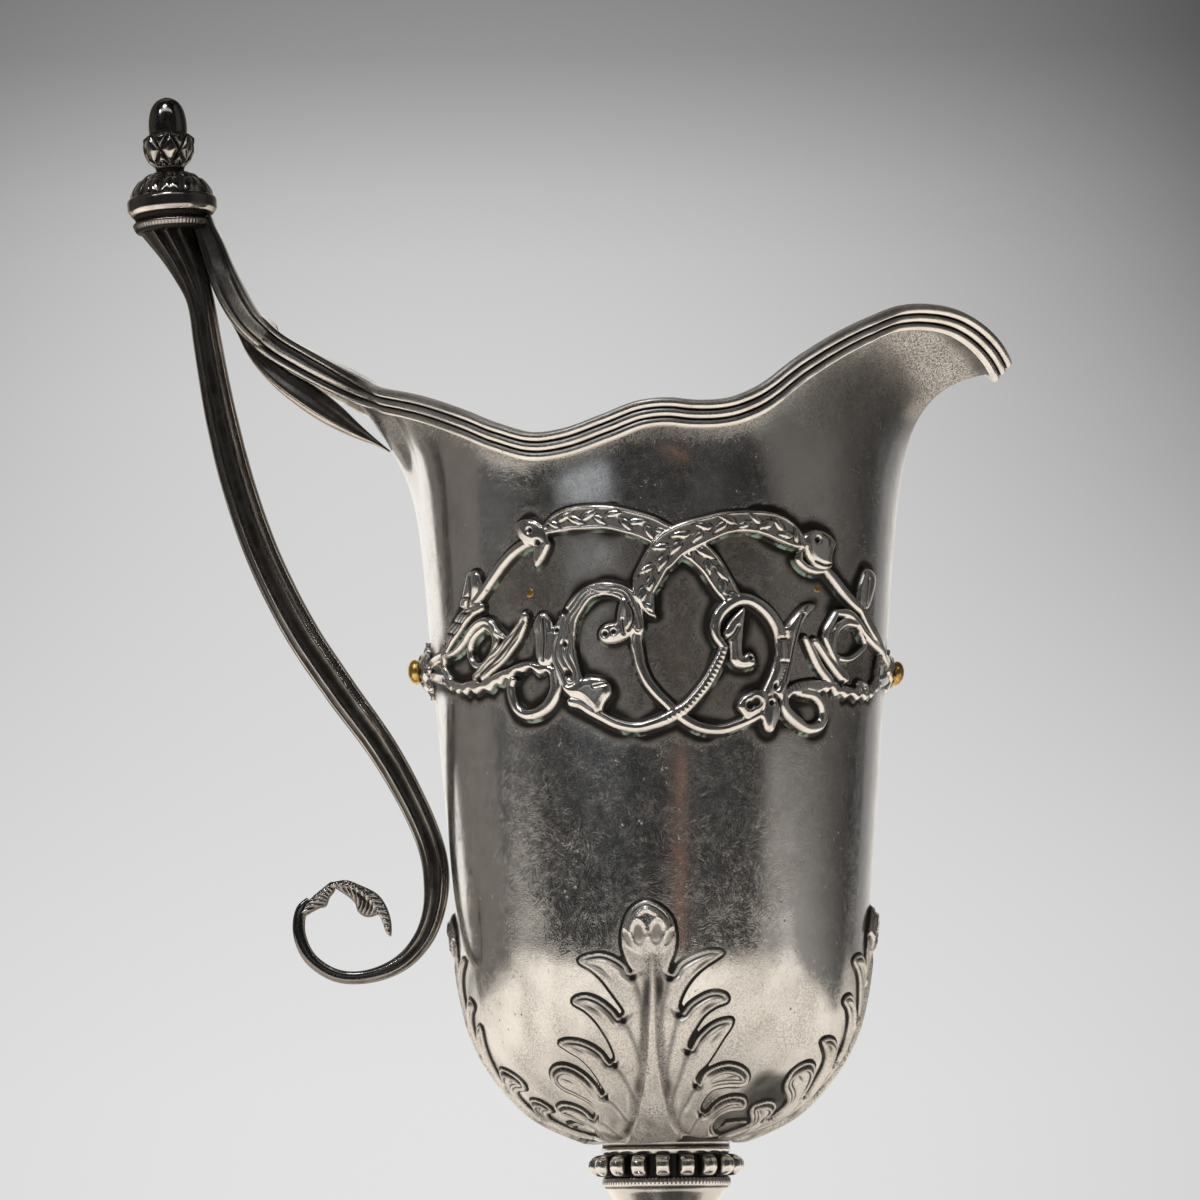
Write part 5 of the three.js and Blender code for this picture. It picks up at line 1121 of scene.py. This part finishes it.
def strap_form(u, t, w, z, f):
    """Hollow near face, dark, with a painted highlight along its thin lower edge."""
    y = full(u, w, 3.2) - 0.16 * w / 2 * np.exp(-(((u + 0.1) / 0.5) ** 2))
    return np.maximum(y, 0.03), np.where(u > 0.66, -0.8, 0.55)


v, q, t, c = bar(LOWER, fluted)
make("lower_branch", v, q, t, DARK, ["handle_lower_branch"], "silver_dark", cav=c, ver=0.0)
v, q, t, c = bar(UPPER, reeded, 0.4)
make("upper_branch", v, q, t, DARK, ["handle_upper_branch"], "silver_dark", cav=c, ver=0.0, frost=0.9 * (1 - smooth(v[:, 2], 185.0, 196.0)))
v, q, t, c = bar(STRAP, strap_form, 0.4)
make("strap", v, q, t, DARK, ["handle_strap"], "silver_dark", cav=c, ver=0.0)

# curled leaf on the end of the scroll, the same on both sides
TSTEP = 0.14
tu, tv = np.arange(-63.2, -45.0, TSTEP), np.arange(77.4, 89.4, TSTEP)
TU, TV = np.meshgrid(tu, tv, indexing="ij")
dl = np.full(TU.shape, 5.0)
th = np.zeros(TU.shape)
tc = np.zeros(TU.shape)
spine = spline(np.array([(-61.6, 82.4), (-60.0, 85.0), (-57.6, 87.0), (-55.2, 87.4), (-52.4, 87.0), (-50.0, 85.4), (-48.2, 82.9), (-47.0, 80.6), (-46.2, 78.6)]), 0.3)
sd_, _, al, sg = line_distance(TU, TV, spine)
for poly in (LEAFLET_A, LEAFLET_B):
    d = outline_distance(TU, TV, spline(np.array(poly), 0.3, loop=True)[:-1])
    dl = np.minimum(dl, d)
fr = np.clip(-dl, 0, None)
th = 0.30 + 0.95 * dome(1 - fr / 1.5)
veins = 0.5 + 0.5 * np.cos(2 * np.pi * (al - np.abs(sd_) * 0.9) / 1.05)
live = smooth(fr, 0.12, 0.5)
th += live * (0.28 * np.exp(-((sd_ / 0.28) ** 2)) - 0.26 * veins)
tc = np.clip(live * (0.9 * smooth(veins, 0.3, 0.8) - 0.35) - 0.6 * np.exp(-((sd_ / 0.3) ** 2)), -0.6, 1)


def on_scroll(u, v, h):
    return np.stack([u, -h, v], axis=-1)


v, q, t, lay = relief(dl, th, -th, TU, TV, TSTEP, on_scroll, cav=(tc, tc), ver=(tc * 0, tc * 0))
make("curled_leaf", v, q, t, DARK, ["scroll_leaf"], "silver_dark", **lay)


# ------------------------------------------------------------------ finial
def set_finial(v):
    a = math.radians(FINIAL_LEAN)
    x, z = v[:, 0] * math.cos(a) + v[:, 2] * math.sin(a), -v[:, 0] * math.sin(a) + v[:, 2] * math.cos(a)
    return np.stack([x + FINIAL_X, v[:, 1], z + FINIAL_Z], axis=1)


def put_turned(name, prof, n, mat, nodes, slot, shape=None, cav=0.15, finial=False):
    v, q, t = turned(prof, n, shape)
    loc = v
    c = cav(np.arctan2(loc[:, 1], loc[:, 0]), np.hypot(loc[:, 0], loc[:, 1]), loc[:, 2]) if callable(cav) else cav
    make(name, set_finial(v) if finial else v, q, t, mat, nodes, slot, cav=c, ver=0.0)


def ring_prof(rows, radius=0.22, step=0.4):
    p = rounded(np.array(rows + rows[:1], float), radius)
    return np.vstack([refine(p, step), p[:1]]) if not np.allclose(p[0], p[-1]) else refine(p, step)


HOLE = 1.15
uneven = lambda k, seed: (lambda a, r, z: (r + k * ripple(6 * np.cos(a), 6 * np.sin(a), z, seed) * (r > 3), z))
hatch = lambda a, r, z: (r - 0.10 * (r > 6.2) * (0.5 + 0.5 * np.cos(70 * a)) - 0.08 * (r > 6.2) * smooth(ripple(5 * np.cos(a), 5 * np.sin(a), z, 41), 0, 0.8), z)
put_turned("socket", ring_prof([(HOLE, -2.9), (6.1, -2.9), (6.45, -2.62), (7.0, -1.5), (6.6, -1.1), (6.35, -0.75), (6.55, -0.35), (6.85, 0.05), (HOLE, 0.05)], 0.22, 0.3),
           280, DARK, ["finial_socket"], "silver_dark", hatch, lambda a, r, z: np.where((z < -2.4) | (z > -1.25), 0.85, -0.55 * (0.5 + 0.5 * np.cos(70 * a))), True)
# painted highlight: a thin light band on the downward-facing lower bevel and a faint one along the top edge, dark oxide
# between
put_turned("collar", ring_prof([(HOLE, 0), (6.95, 0), (7.70, 0.80), (7.76, 2.5), (7.5, 3.05), (6.6, 3.2), (HOLE, 3.2)], 0.3),
           160, DARK, ["finial_collar"], "silver_dark", uneven(0.03, 43),
           lambda a, r, z: np.where((z > 0.10) & (z < 0.74), -0.9, np.where(z > 2.62, -0.15, 0.35)), True)


def dome_bumps(a, r):
    """Two rows of leaves on the dome, 0 in the gaps to 1 on their backs."""
    f = np.clip((7.25 - r) / 5.0, 0, 1)
    a = a + 0.10 * ripple(3 * np.cos(a), 3 * np.sin(a), r, 47)
    top = np.zeros(f.shape)
    for lo, hi, count, shift in ((-0.12, 0.52, 11, 0.0), (0.40, 0.98, 9, 0.5)):
        x = (a * count / (2 * np.pi) + shift) % 1 - 0.5
        v = (f - lo) / (hi - lo)
        e = (x / 0.46) ** 2 + ((v - 0.45) / 0.55) ** 2
        h = np.sqrt(np.maximum(0, 1 - e)) * (1 - 0.35 * np.exp(-((x / 0.07) ** 2)))
        top = np.maximum(top, h)
    return top


def dome_leaves(a, r, z):
    k = smooth(r, 2.3, 3.0) * smooth(-r, -7.3, -6.9) * (z > 3.2)
    h = 0.62 * (dome_bumps(a, r) - 0.45)
    return r + 0.30 * k * h, z + k * h


def dome_cav(a, r, z):
    return np.clip(0.95 - 1.6 * dome_bumps(a, r), -0.45, 1) * smooth(r, 2.0, 3.0)


put_turned("dome", ring_prof([(HOLE, 3.0), (7.15, 3.0), (7.15, 3.5), (6.8, 4.25), (5.8, 5.6), (4.2, 6.7), (2.7, 7.35), (2.1, 7.5), (HOLE, 7.5)], 0.3, 0.22),
           220, DARK, ["finial_dome"], "silver_dark", dome_leaves, dome_cav, True)


def cup_cut(a, z):
    k = 7 * (a + math.radians(105)) / (2 * np.pi)
    s = (z - 11.0) / 6.0
    one, two = np.abs((k + s + 0.5) % 1 - 0.5), np.abs((k - s + 0.5) % 1 - 0.5)
    return np.maximum(np.exp(-((one / 0.085) ** 2)), np.exp(-((two / 0.085) ** 2))), smooth(np.minimum(one, two), 0.05, 0.34)


def cup_shape(a, r, z):
    k = smooth(r, 2.9, 3.4) * smooth(-z, -13.7, -13.2)
    line, cushion = cup_cut(a, z)
    return r + k * (0.22 * cushion - 0.42 * line), z


# cav of the cup: oxide in the cut lines and at its foot; the lower facets are lightened, a painted highlight
put_turned("acorn_cup_hatched", ring_prof([(HOLE, 7.3), (2.5, 7.3), (2.4, 7.9), (2.55, 8.4), (3.5, 9.4), (4.15, 11.0), (4.35, 12.4), (4.3, 13.4), (3.9, 13.95), (3.3, 14.05), (HOLE, 14.05)], 0.5, 0.18),
           240, DARK, ["acorn_cup"], "silver_dark", cup_shape,
           lambda a, r, z: np.maximum(0.95 * cup_cut(a, z)[0] * smooth(r, 2.6, 3.2), 0.8 * smooth(-z, -8.6, -8.0)) - 0.75 * cup_cut(a, z)[1] * smooth(-z, -12.2, -10.4) * smooth(z, 8.8, 9.4), True)


def nut_pit(a, r, z):
    d = np.hypot(r * np.cos(a) - 0.15, r * np.sin(a) + 1.25)
    return np.exp(-((d / 0.42) ** 2)) * smooth(z, 18.4, 19.0)


put_turned("acorn_nut_plain", ring_prof([(0.03, 13.6), (3.25, 13.6), (3.28, 14.3), (3.36, 15.4), (3.3, 16.6), (3.1, 17.9), (2.65, 19.1), (1.95, 20.0), (1.1, 20.49), (0.4, 20.67), (0.03, 20.69)], 0.6, 0.18)[:-1],
           140, DARK, ["acorn_nut"], "silver_dark", lambda a, r, z: (r, z - 0.5 * nut_pit(a, r, z)), lambda a, r, z: np.maximum(0.95 * nut_pit(a, r, z), 0.7 * smooth(-z, -14.6, -14.1)), True)
thread = [(0.03, -2.1), (0.85, -2.1)] + [(0.92 + 0.13 * (k % 2), -1.9 + 0.3 * k) for k in range(65)] + [(0.85, 17.7), (0.03, 17.7)]
put_turned("stud", thread, 24, BRASS, ["finial_stud"], "brass", None, 0.3, True)

# ------------------------------------------------------------------ rosettes
for where, deg, z0 in (("spout", 14.0, 122.6), ("handle", 184.0, 123.2)):
    n = 180
    a = 2 * np.pi * np.arange(n) / n
    petal = 0.5 + 0.5 * np.cos(8 * a)
    inner_petal = 0.5 + 0.5 * np.cos(8 * a + np.pi)
    rings, cav = [], []
    rings.append(np.stack([4.5 * (0.93 + 0.12 * petal) * np.cos(a), 4.5 * (0.93 + 0.12 * petal) * np.sin(a), 0 * a - 0.9], axis=1))
    cav.append(0.9 + 0 * a)
    for f in np.linspace(1.0, 0.02, 34):
        r = f * 5.05 * (1 - 0.13 * (1 - petal) * smooth(f, 0.55, 1.0))
        cone = 0.12 + 1.55 * np.clip((1 - f) / 0.56, 0, 1) ** 0.85
        h = cone - 0.42 * (1 - petal) * smooth(f, 0.5, 0.75) + 0.34 * petal * smooth(f, 0.86, 1.0)
        vein = np.exp(-((np.abs((a * 8 / (2 * np.pi) + 0.5) % 1 - 0.5) / 0.09) ** 2)) * smooth(f, 0.60, 0.72) * (1 - smooth(f, 0.92, 1.0))
        h = h - 0.16 * vein
        h = h + 0.32 * inner_petal * smooth(-f, -0.68, -0.60) * smooth(f, 0.36, 0.46)
        h = np.minimum(h, 2.05) - 0.5 * smooth(-f, -0.40, -0.32)
        rings.append(np.stack([r * np.cos(a), r * np.sin(a), h], axis=1))
        cav.append(np.clip(0.75 * (1 - petal) * smooth(f, 0.6, 0.9) + 0.5 * vein + 0.6 * np.exp(-(((f - 0.57) / 0.05) ** 2)) + 0.7 * smooth(-f, -0.44, -0.38), 0, 1))
    v, q, t = tube(rings)
    base = float(body_r(z0)) + 0.30
    turn_c, turn_s = math.cos(math.radians(deg)), math.sin(math.radians(deg))

    def stand(v):
        x, y, z = base + v[:, 2] - 0.087 * v[:, 0], v[:, 1], z0 - v[:, 0]
        return np.stack([x * turn_c - y * turn_s, x * turn_s + y * turn_c, z], axis=1)

    make("rosette_petals_" + where, stand(v), q, t, CAST, ["rosette_" + where], "silver_cast", cav=np.r_[np.array(cav).ravel(), 0.8, 0.8], ver=0.0)
    prof = [(0.9, 0.9), (1.2, 1.6), (1.75, 1.85), (2.08, 2.35), (2.10, 2.75), (1.85, 3.25), (1.35, 3.62), (0.75, 3.85), (0.05, 3.93)]
    v, q, t = turned(rounded(np.array(prof), 0.3), 40)
    make("rosette_ball_" + where, stand(v), q, t, BRASS, ["rosette_stud_" + where], "brass",
         cav=0.8 * smooth(-v[:, 2], -2.2, -1.7), ver=0.0)

# ------------------------------------------------------------------ collar of beads, stem and foot
put_turned("neck", ring_prof([(6.0, 41.0), (10.3, 41.0), (10.75, 41.6), (10.9, 42.2), (10.6, 42.7), (10.95, 43.3), (10.4, 43.8), (6.0, 43.8)], 0.3, 0.3),
           240, CAST, ["neck_ring"], "silver_cast", uneven(0.09, 53), lambda a, r, z: 0.25 + 0.6 * np.exp(-(((z - 42.7) / 0.3) ** 2)) + 0.6 * smooth(-z, -41.6, -41.1))


def bead_shape(a, r, z):
    k = (a - np.pi / 2) * 18 / (2 * np.pi)
    x = ((k + 0.5) % 1 - 0.5) * 2 * np.pi * 12.0 / 18
    bump = np.maximum(0, 1 - np.abs(x / 1.48) ** 2.6) ** (1 / 2.2)
    zz = np.clip((z - 39.4) / 1.85, -1, 1)
    barrel = np.maximum(0, 1 - np.abs(zz) ** 2.4) ** (1 / 2.4)
    return np.where(r > 9.9, 10.3 + 2.92 * bump * barrel, r), z


def bead_cav(a, r, z):
    return np.where(r < 11.6, 0.85, 0.85 * smooth(-r, -12.3, -11.6))


prof = [(6.0, 37.5)] + [(10.3, zz) for zz in 39.4 - 1.9 * np.cos(np.linspace(0, np.pi, 34))] + [(6.0, 41.3), (6.0, 37.5)]
put_turned("beads", prof, 720, CAST, ["bead_collar"], "silver_cast", bead_shape, bead_cav)


def stem_shape(a, r, z):
    cut = (0.5 + 0.5 * np.cos(96 * a)) * smooth(z, 36.1, 36.35) * smooth(-z, -37.35, -37.1) * (r > 8)
    return r - 0.14 * cut + 0.02 * ripple(4 * np.cos(a), 4 * np.sin(a), z, 59) * (r > 3), z


prof = refine(rounded(np.array([(0.05, 24.4), (4.9, 24.4), (5.3, 24.9), (4.95, 25.5), (5.2, 26.6), (5.9, 28.7), (7.0, 31.0), (8.5, 33.2), (9.9, 35.0), (10.2, 35.6), (10.75, 36.1), (10.85, 36.7), (10.75, 37.3), (10.2, 37.6), (0.05, 37.6)]), 0.35), 0.3)
put_turned("stem_cone", prof, 384, CAST, ["stem"], "silver_cast", stem_shape,
           lambda a, r, z: 0.10 + 0.55 * (0.5 + 0.5 * np.cos(96 * a)) * smooth(z, 36.1, 36.4) * (r > 8) + 0.6 * np.exp(-(((z - 35.75) / 0.22) ** 2)) * (r > 8) + 0.5 * smooth(z, 37.2, 37.5))

foot_out = [(0.05, 24.45), (4.9, 24.45), (5.15, 23.4), (5.6, 21.0), (7.4, 16.6), (9.2, 14.6), (11.0, 13.3), (11.5, 13.3), (11.6, 12.8), (16.0, 10.8), (22.0, 8.7), (23.6, 8.1), (24.0, 8.15), (24.2, 7.6), (27.0, 6.2), (28.5, 4.8), (28.6, 3.3), (27.2, 3.3), (27.2, 4.1), (25.6, 5.2), (21.0, 7.2), (15.0, 9.3), (10.0, 11.7), (6.2, 15.4), (4.3, 19.4), (3.6, 22.8), (0.05, 22.8)]
put_turned("foot_bell", refine(rounded(np.array(foot_out), 0.5), 0.5), 200, SHEET, ["foot_dome"], "silver_sheet", uneven(0.03, 61),
           lambda a, r, z: 0.05 + 0.5 * np.exp(-(((r - 11.55) / 0.25) ** 2)) + 0.5 * np.exp(-(((r - 24.1) / 0.25) ** 2)))
edge_rows = [(28.3, 0.0), (30.7, 0.0)]
for k in range(3):
    for q in np.linspace(-0.9, 0.9, 7):
        f = math.sin(q * math.pi / 2)
        edge_rows.append((30.35 - 0.28 * k + 0.62 * math.sqrt(max(0.0, 1 - f * f)), 0.78 + 1.42 * k + 0.70 * f))
edge_rows += [(29.4, 4.3), (28.3, 4.3)]
p = np.array(edge_rows + edge_rows[:1])
put_turned("foot_reeds", p, 240, CAST, ["foot_edge_wire"], "silver_cast", uneven(0.03, 67),
           lambda a, r, z: 0.7 * np.clip(np.abs(((z - 0.07) / 1.42) % 1 - 0.5) * 2 - 0.75, 0, 0.25) * 4 * (r > 29.5))
plate = [(0.05, 0.35), (6.0, 0.35), (6.4, 0.0), (7.0, 0.0), (7.4, 0.35), (24.5, 0.35), (25.0, 0.0), (28.4, 0.0), (28.4, 0.9), (0.05, 0.9)]
put_turned("base_plate", refine(rounded(np.array(plate), 0.2), 0.8), 160, SHEET, ["foot_base_plate"], "silver_sheet", None, 0.12)


# ------------------------------------------------------------------ stage
def floor_material():
    m = bpy.data.materials.new("pale_floor")
    m.use_nodes = True
    n = Net(m.node_tree)
    p = n.place()
    col = n.mix(n.span(n.noise(p, 9.0, 4.0), 0.3, 0.7), (0.82, 0.785, 0.735), (0.78, 0.745, 0.70))
    s = n.node("ShaderNodeBsdfPrincipled")
    n.put(s.inputs["Base Color"], col)
    s.inputs["Roughness"].default_value = 0.75
    s.inputs["Specular IOR Level"].default_value = 0.2
    n.tree.links.new(s.outputs[0], n.node("ShaderNodeOutputMaterial").inputs[0])
    return m


FLOOR = floor_material()


def sheet(name, corners, nx, ny, mat):
    """Flat four-cornered sheet, cut into a grid."""
    c = np.array(corners, float)
    s, t = np.meshgrid(np.linspace(0, 1, nx), np.linspace(0, 1, ny), indexing="ij")
    s, t = s.ravel()[:, None], t.ravel()[:, None]
    v = (1 - s) * (1 - t) * c[0] + s * (1 - t) * c[1] + s * t * c[2] + (1 - s) * t * c[3]
    me = bpy.data.meshes.new(name)
    me.from_pydata(v.tolist(), [], grid_faces(nx, ny)[:, ::-1].tolist())
    me.update()
    me.materials.append(mat)
    ob = bpy.data.objects.new(name, me)
    bpy.context.scene.collection.objects.link(ob)
    return ob


ZF = -0.0004
# floor in two pieces, both pale; only the inner one shows in reflections
bearing = np.arange(-180.0, 180.0, 3.0)
reach = np.interp(bearing, [-180, -125, -110, -97, -82, -70, -62, -55, -40, -28, -15, 0, 15, 28, 40, 55, 62, 68, 76, 86, 95, 110, 125, 180],
                  [2.2, 2.2, 1.0, 0.95, 1.0, 0.84, 0.60, 0.50, 0.46, 0.44, 0.40, 0.38, 0.40, 0.44, 0.46, 0.50, 0.64, 0.80, 1.0, 1.02, 0.90, 0.92, 2.2, 2.2])
reach = reach * (1 + 0.030 * np.sin(0.37 * bearing) + 0.025 * np.sin(0.83 * bearing + 1.0))
for name, radii in (("floor", [0.02 + 0 * reach, 0.45 * reach, reach]), ("floor_outer", [reach, 0.5 * (reach + 3.4), 3.4 + 0 * reach])):
    b = np.radians(bearing)
    v = np.concatenate([np.stack([r * np.sin(b), -r * np.cos(b), 0 * b + ZF], axis=1) for r in radii])
    q = grid_faces(len(radii), len(bearing), False, True).tolist()
    if name == "floor":
        q.append(list(range(len(bearing)))[::-1])
    me = bpy.data.meshes.new(name)
    me.from_pydata(v.tolist(), [], q)
    me.update()
    me.materials.append(FLOOR)
    ob = bpy.data.objects.new(name, me)
    bpy.context.scene.collection.objects.link(ob)
    ob.visible_glossy = name == "floor"


def card(name, a, b, height, base, build):
    """Studio card that only shows in reflections: from a to b on the floor, its light set by build(net, along, up)."""
    m = bpy.data.materials.new(name)
    m.use_nodes = True
    n = Net(m.node_tree)
    p = n.node("ShaderNodeSeparateXYZ")
    n.put(p.inputs[0], n.place())
    span = math.hypot(b[0] - a[0], b[1] - a[1])
    ux, uy = (b[0] - a[0]) / span, (b[1] - a[1]) / span
    along = n.math("ADD", n.math("MULTIPLY", n.math("SUBTRACT", p.outputs[0], a[0]), ux / span),
                   n.math("MULTIPLY", n.math("SUBTRACT", p.outputs[1], a[1]), uy / span))
    color, strength = build(n, along, p.outputs[2])
    s = n.node("ShaderNodeEmission")
    n.put(s.inputs[0], color)
    n.put(s.inputs[1], strength)
    n.tree.links.new(s.outputs[0], n.node("ShaderNodeOutputMaterial").inputs[0])
    ob = sheet(name, [(*a, base), (*b, base), (*b, base + height), (*a, base + height)], 5, 5, m)
    ob.visible_camera = ob.visible_diffuse = ob.visible_shadow = ob.visible_transmission = False
    return ob


def left_light(n, along, up):
    cloud = n.span(n.noise(n.place(), 4.0, 3.0), 0.3, 0.7, 0.85, 1.15)
    return (1.0, 0.93, 0.87, 1.0), n.math("MULTIPLY", n.span(up, 0.0, 0.5, 0.14, 0.11), cloud)


def right_light(n, along, up):
    rise = n.span(along, 0.05, 0.40, 0.045, 0.27)
    fall = n.span(along, 0.62, 0.99, 1.0, 0.30)
    low = n.span(up, 0.045, 0.088, 1.0, 0.45)
    peak = n.span(n.math("ABSOLUTE", n.math("SUBTRACT", along, 0.54)), 0.20, 0.0, 0.0, 0.034)
    foot = n.span(n.math("SUBTRACT", up, peak), 0.003, -0.003)
    wall = n.math("MULTIPLY", n.math("MULTIPLY", rise, fall), low)
    return (1.0, 0.965, 0.935, 1.0), n.math("MULTIPLY_ADD", foot, 0.5, wall)


card("card_left", (-0.53, 0.0), (-0.40, 0.34), 0.9, ZF, left_light)
card("card_right", (0.62, -0.48), (0.285, 0.19), 0.9, ZF, right_light)


def window_light(n, along, up):
    wide = n.math("MULTIPLY", n.span(along, 0.0, 0.4), n.span(along, 1.0, 0.7))
    tall = n.math("ADD", n.math("MULTIPLY", n.span(up, 0.060, 0.080), 0.06), n.math("MULTIPLY", n.span(up, 0.098, 0.118), 0.94))
    soft = n.math("MULTIPLY", n.math("MULTIPLY", wide, tall), n.span(up, 0.150, 0.136))
    return (0.86, 0.93, 1.0, 1.0), n.math("MULTIPLY_ADD", soft, 0.40, 0.026)


card("card_window", (-0.20, -0.20), (-0.045, -0.29), 0.10, 0.05, window_light)


def strip_light(n, along, up):
    ends = n.math("MULTIPLY", n.span(along, 0.0, 0.12), n.span(along, 1.0, 0.88))
    return (0.95, 0.97, 1.0, 1.0), n.math("MULTIPLY", ends, n.math("MULTIPLY", n.span(up, 0.58, 0.62), n.span(up, 0.80, 0.74, 0.0, 1.8)))


card("card_strip", (-0.50, -0.46), (0.34, -0.46), 0.26, 0.56, strip_light)

# ------------------------------------------------------------------ surroundings
scene = bpy.context.scene
world = bpy.data.worlds.new("studio")
scene.world = world
world.use_nodes = True
n = Net(world.node_tree)
d = n.node("ShaderNodeTexCoord").outputs["Generated"]
sep = n.node("ShaderNodeSeparateXYZ")
n.put(sep.inputs[0], d)
X, Y, Z = sep.outputs
azim = n.math("MULTIPLY", n.math("ARCTAN2", X, n.math("MULTIPLY", Y, -1.0)), 180 / math.pi)
elev = n.math("MULTIPLY", n.math("ARCSINE", Z), 180 / math.pi)
# dark room in front, bright backdrop behind
left = n.math("MULTIPLY", n.span(azim, -95.0, -105.0), 0.86)
right = n.math("ADD", n.span(azim, 136.0, 141.0, 0.05, 0.20), n.span(azim, 141.0, 178.0, 0.0, 0.62))
right = n.math("MULTIPLY", n.span(azim, 116.0, 122.0), right)
glow = n.span(azim, -58.0, -76.0, 0.024, 0.085)
level = n.math("ADD", glow, n.math("MAXIMUM", left, right))
high = n.span(elev, 22.0, 46.0)
level = n.math("MULTIPLY", level, n.math("SUBTRACT", 1.0, n.math("MULTIPLY", high, 0.82)))
level = n.math("ADD", level, n.math("MULTIPLY", n.span(n.noise(d, 3.0, 4.0), 0.45, 0.72), 0.028))
lean_to = n.math("MULTIPLY_ADD", elev, 2.4, 28.5)
post = n.span(n.math("ABSOLUTE", n.math("SUBTRACT", azim, lean_to)), 2.1, 1.3)
post = n.math("MULTIPLY", post, n.math("MULTIPLY", n.span(elev, -4.6, -5.3), n.span(elev, -10.0, -8.6)))
room = n.mix(n.span(level, 0.03, 0.5), (0.96, 0.97, 1.0), (1.0, 0.975, 0.94))
room = n.mix(post, room, (17.0, 9.8, 7.5))
room = n.mix(1.0, room, level, "MULTIPLY")
# what the camera sees behind the jug: pale below, darker towards the top corners
ramp = n.node("ShaderNodeValToRGB")
stops = [(-90, 0.80), (0.6, 0.765), (4.0, 0.70), (7.75, 0.645), (9.0, 0.595), (9.8, 0.52), (10.6, 0.40), (11.4, 0.28), (14.0, 0.15), (20.0, 0.11), (90, 0.10)]
el = ramp.color_ramp.elements
el.remove(el[1])
el[0].position, el[0].color = 0.0, (stops[0][1],) * 3 + (1,)
for deg, val in stops[1:]:
    k = el.new((deg + 90) / 180)
    k.color = (val, val, val, 1)
n.put(ramp.inputs[0], n.math("DIVIDE", n.math("ADD", elev, 90.0), 180.0))
side = n.math("MULTIPLY", n.math("ARCTAN2", X, Y), 180 / math.pi)
side = n.math("MINIMUM", n.math("ABSOLUTE", n.math("ADD", side, 4.9)), 8.0)
fade = n.math("MULTIPLY", n.math("MULTIPLY", side, side), n.span(elev, 2.0, 11.0, 0.0022, 0.0108))
seen = n.mix(1.0, ramp.outputs[0], n.math("SUBTRACT", 1.0, fade), "MULTIPLY")
lp = n.node("ShaderNodeLightPath")
back = n.node("ShaderNodeBackground")
n.put(back.inputs[0], n.mix(lp.outputs["Is Camera Ray"], room, seen))
n.tree.links.new(back.outputs[0], n.node("ShaderNodeOutputWorld").inputs[0])


def area(name, energy, size, at, to, glossy, color=(1, 1, 1)):
    li = bpy.data.lights.new(name, "AREA")
    li.energy, li.size, li.color = energy, size, color
    ob = bpy.data.objects.new(name, li)
    bpy.context.scene.collection.objects.link(ob)
    ob.location = at
    ob.rotation_euler = (Vector(to) - Vector(at)).to_track_quat("-Z", "Y").to_euler()
    ob.visible_glossy = glossy
    ob.visible_camera = False
    return ob


area("overhead", 16.5, 0.9, (0.0, 0.15, 1.15), (0.0, 0.05, 0.0), False, (1.0, 0.97, 0.93))
area("upper_left", 1.4, 0.16, (-0.62, -0.62, 0.78), (-0.05, 0.0, 0.16), True)

area("top_front", 2.2, 0.22, (-0.20, -0.50, 0.95), (-0.04, 0.0, 0.18), True, (0.95, 0.97, 1.0))

# ------------------------------------------------------------------ camera
az_, pitch, roll = math.radians(3.4), math.atan(0.1), math.radians(-0.75)
right0, fwd0, up0 = Vector((math.cos(az_), math.sin(az_), 0)), Vector((-math.sin(az_), math.cos(az_), 0)), Vector((0, 0, 1))
fwd = fwd0 * math.cos(pitch) + up0 * math.sin(pitch)
up1 = -fwd0 * math.sin(pitch) + up0 * math.cos(pitch)
right_ = right0 * math.cos(roll) + up1 * math.sin(roll)
up_v = -right0 * math.sin(roll) + up1 * math.cos(roll)
cam = bpy.data.cameras.new("camera")
cam.sensor_width, cam.lens = 36.0, 36.0 * 5627.93 / 1200
cam.clip_start, cam.clip_end = 0.05, 50
eye = bpy.data.objects.new("camera", cam)
scene.collection.objects.link(eye)
eye.matrix_world = Matrix((right_, up_v, -fwd)).transposed().to_4x4()
eye.location = (0.046577, -0.950911, 0.03995)
scene.camera = eye
scene.view_settings.view_transform = "Standard"
scene.view_settings.look = "None"
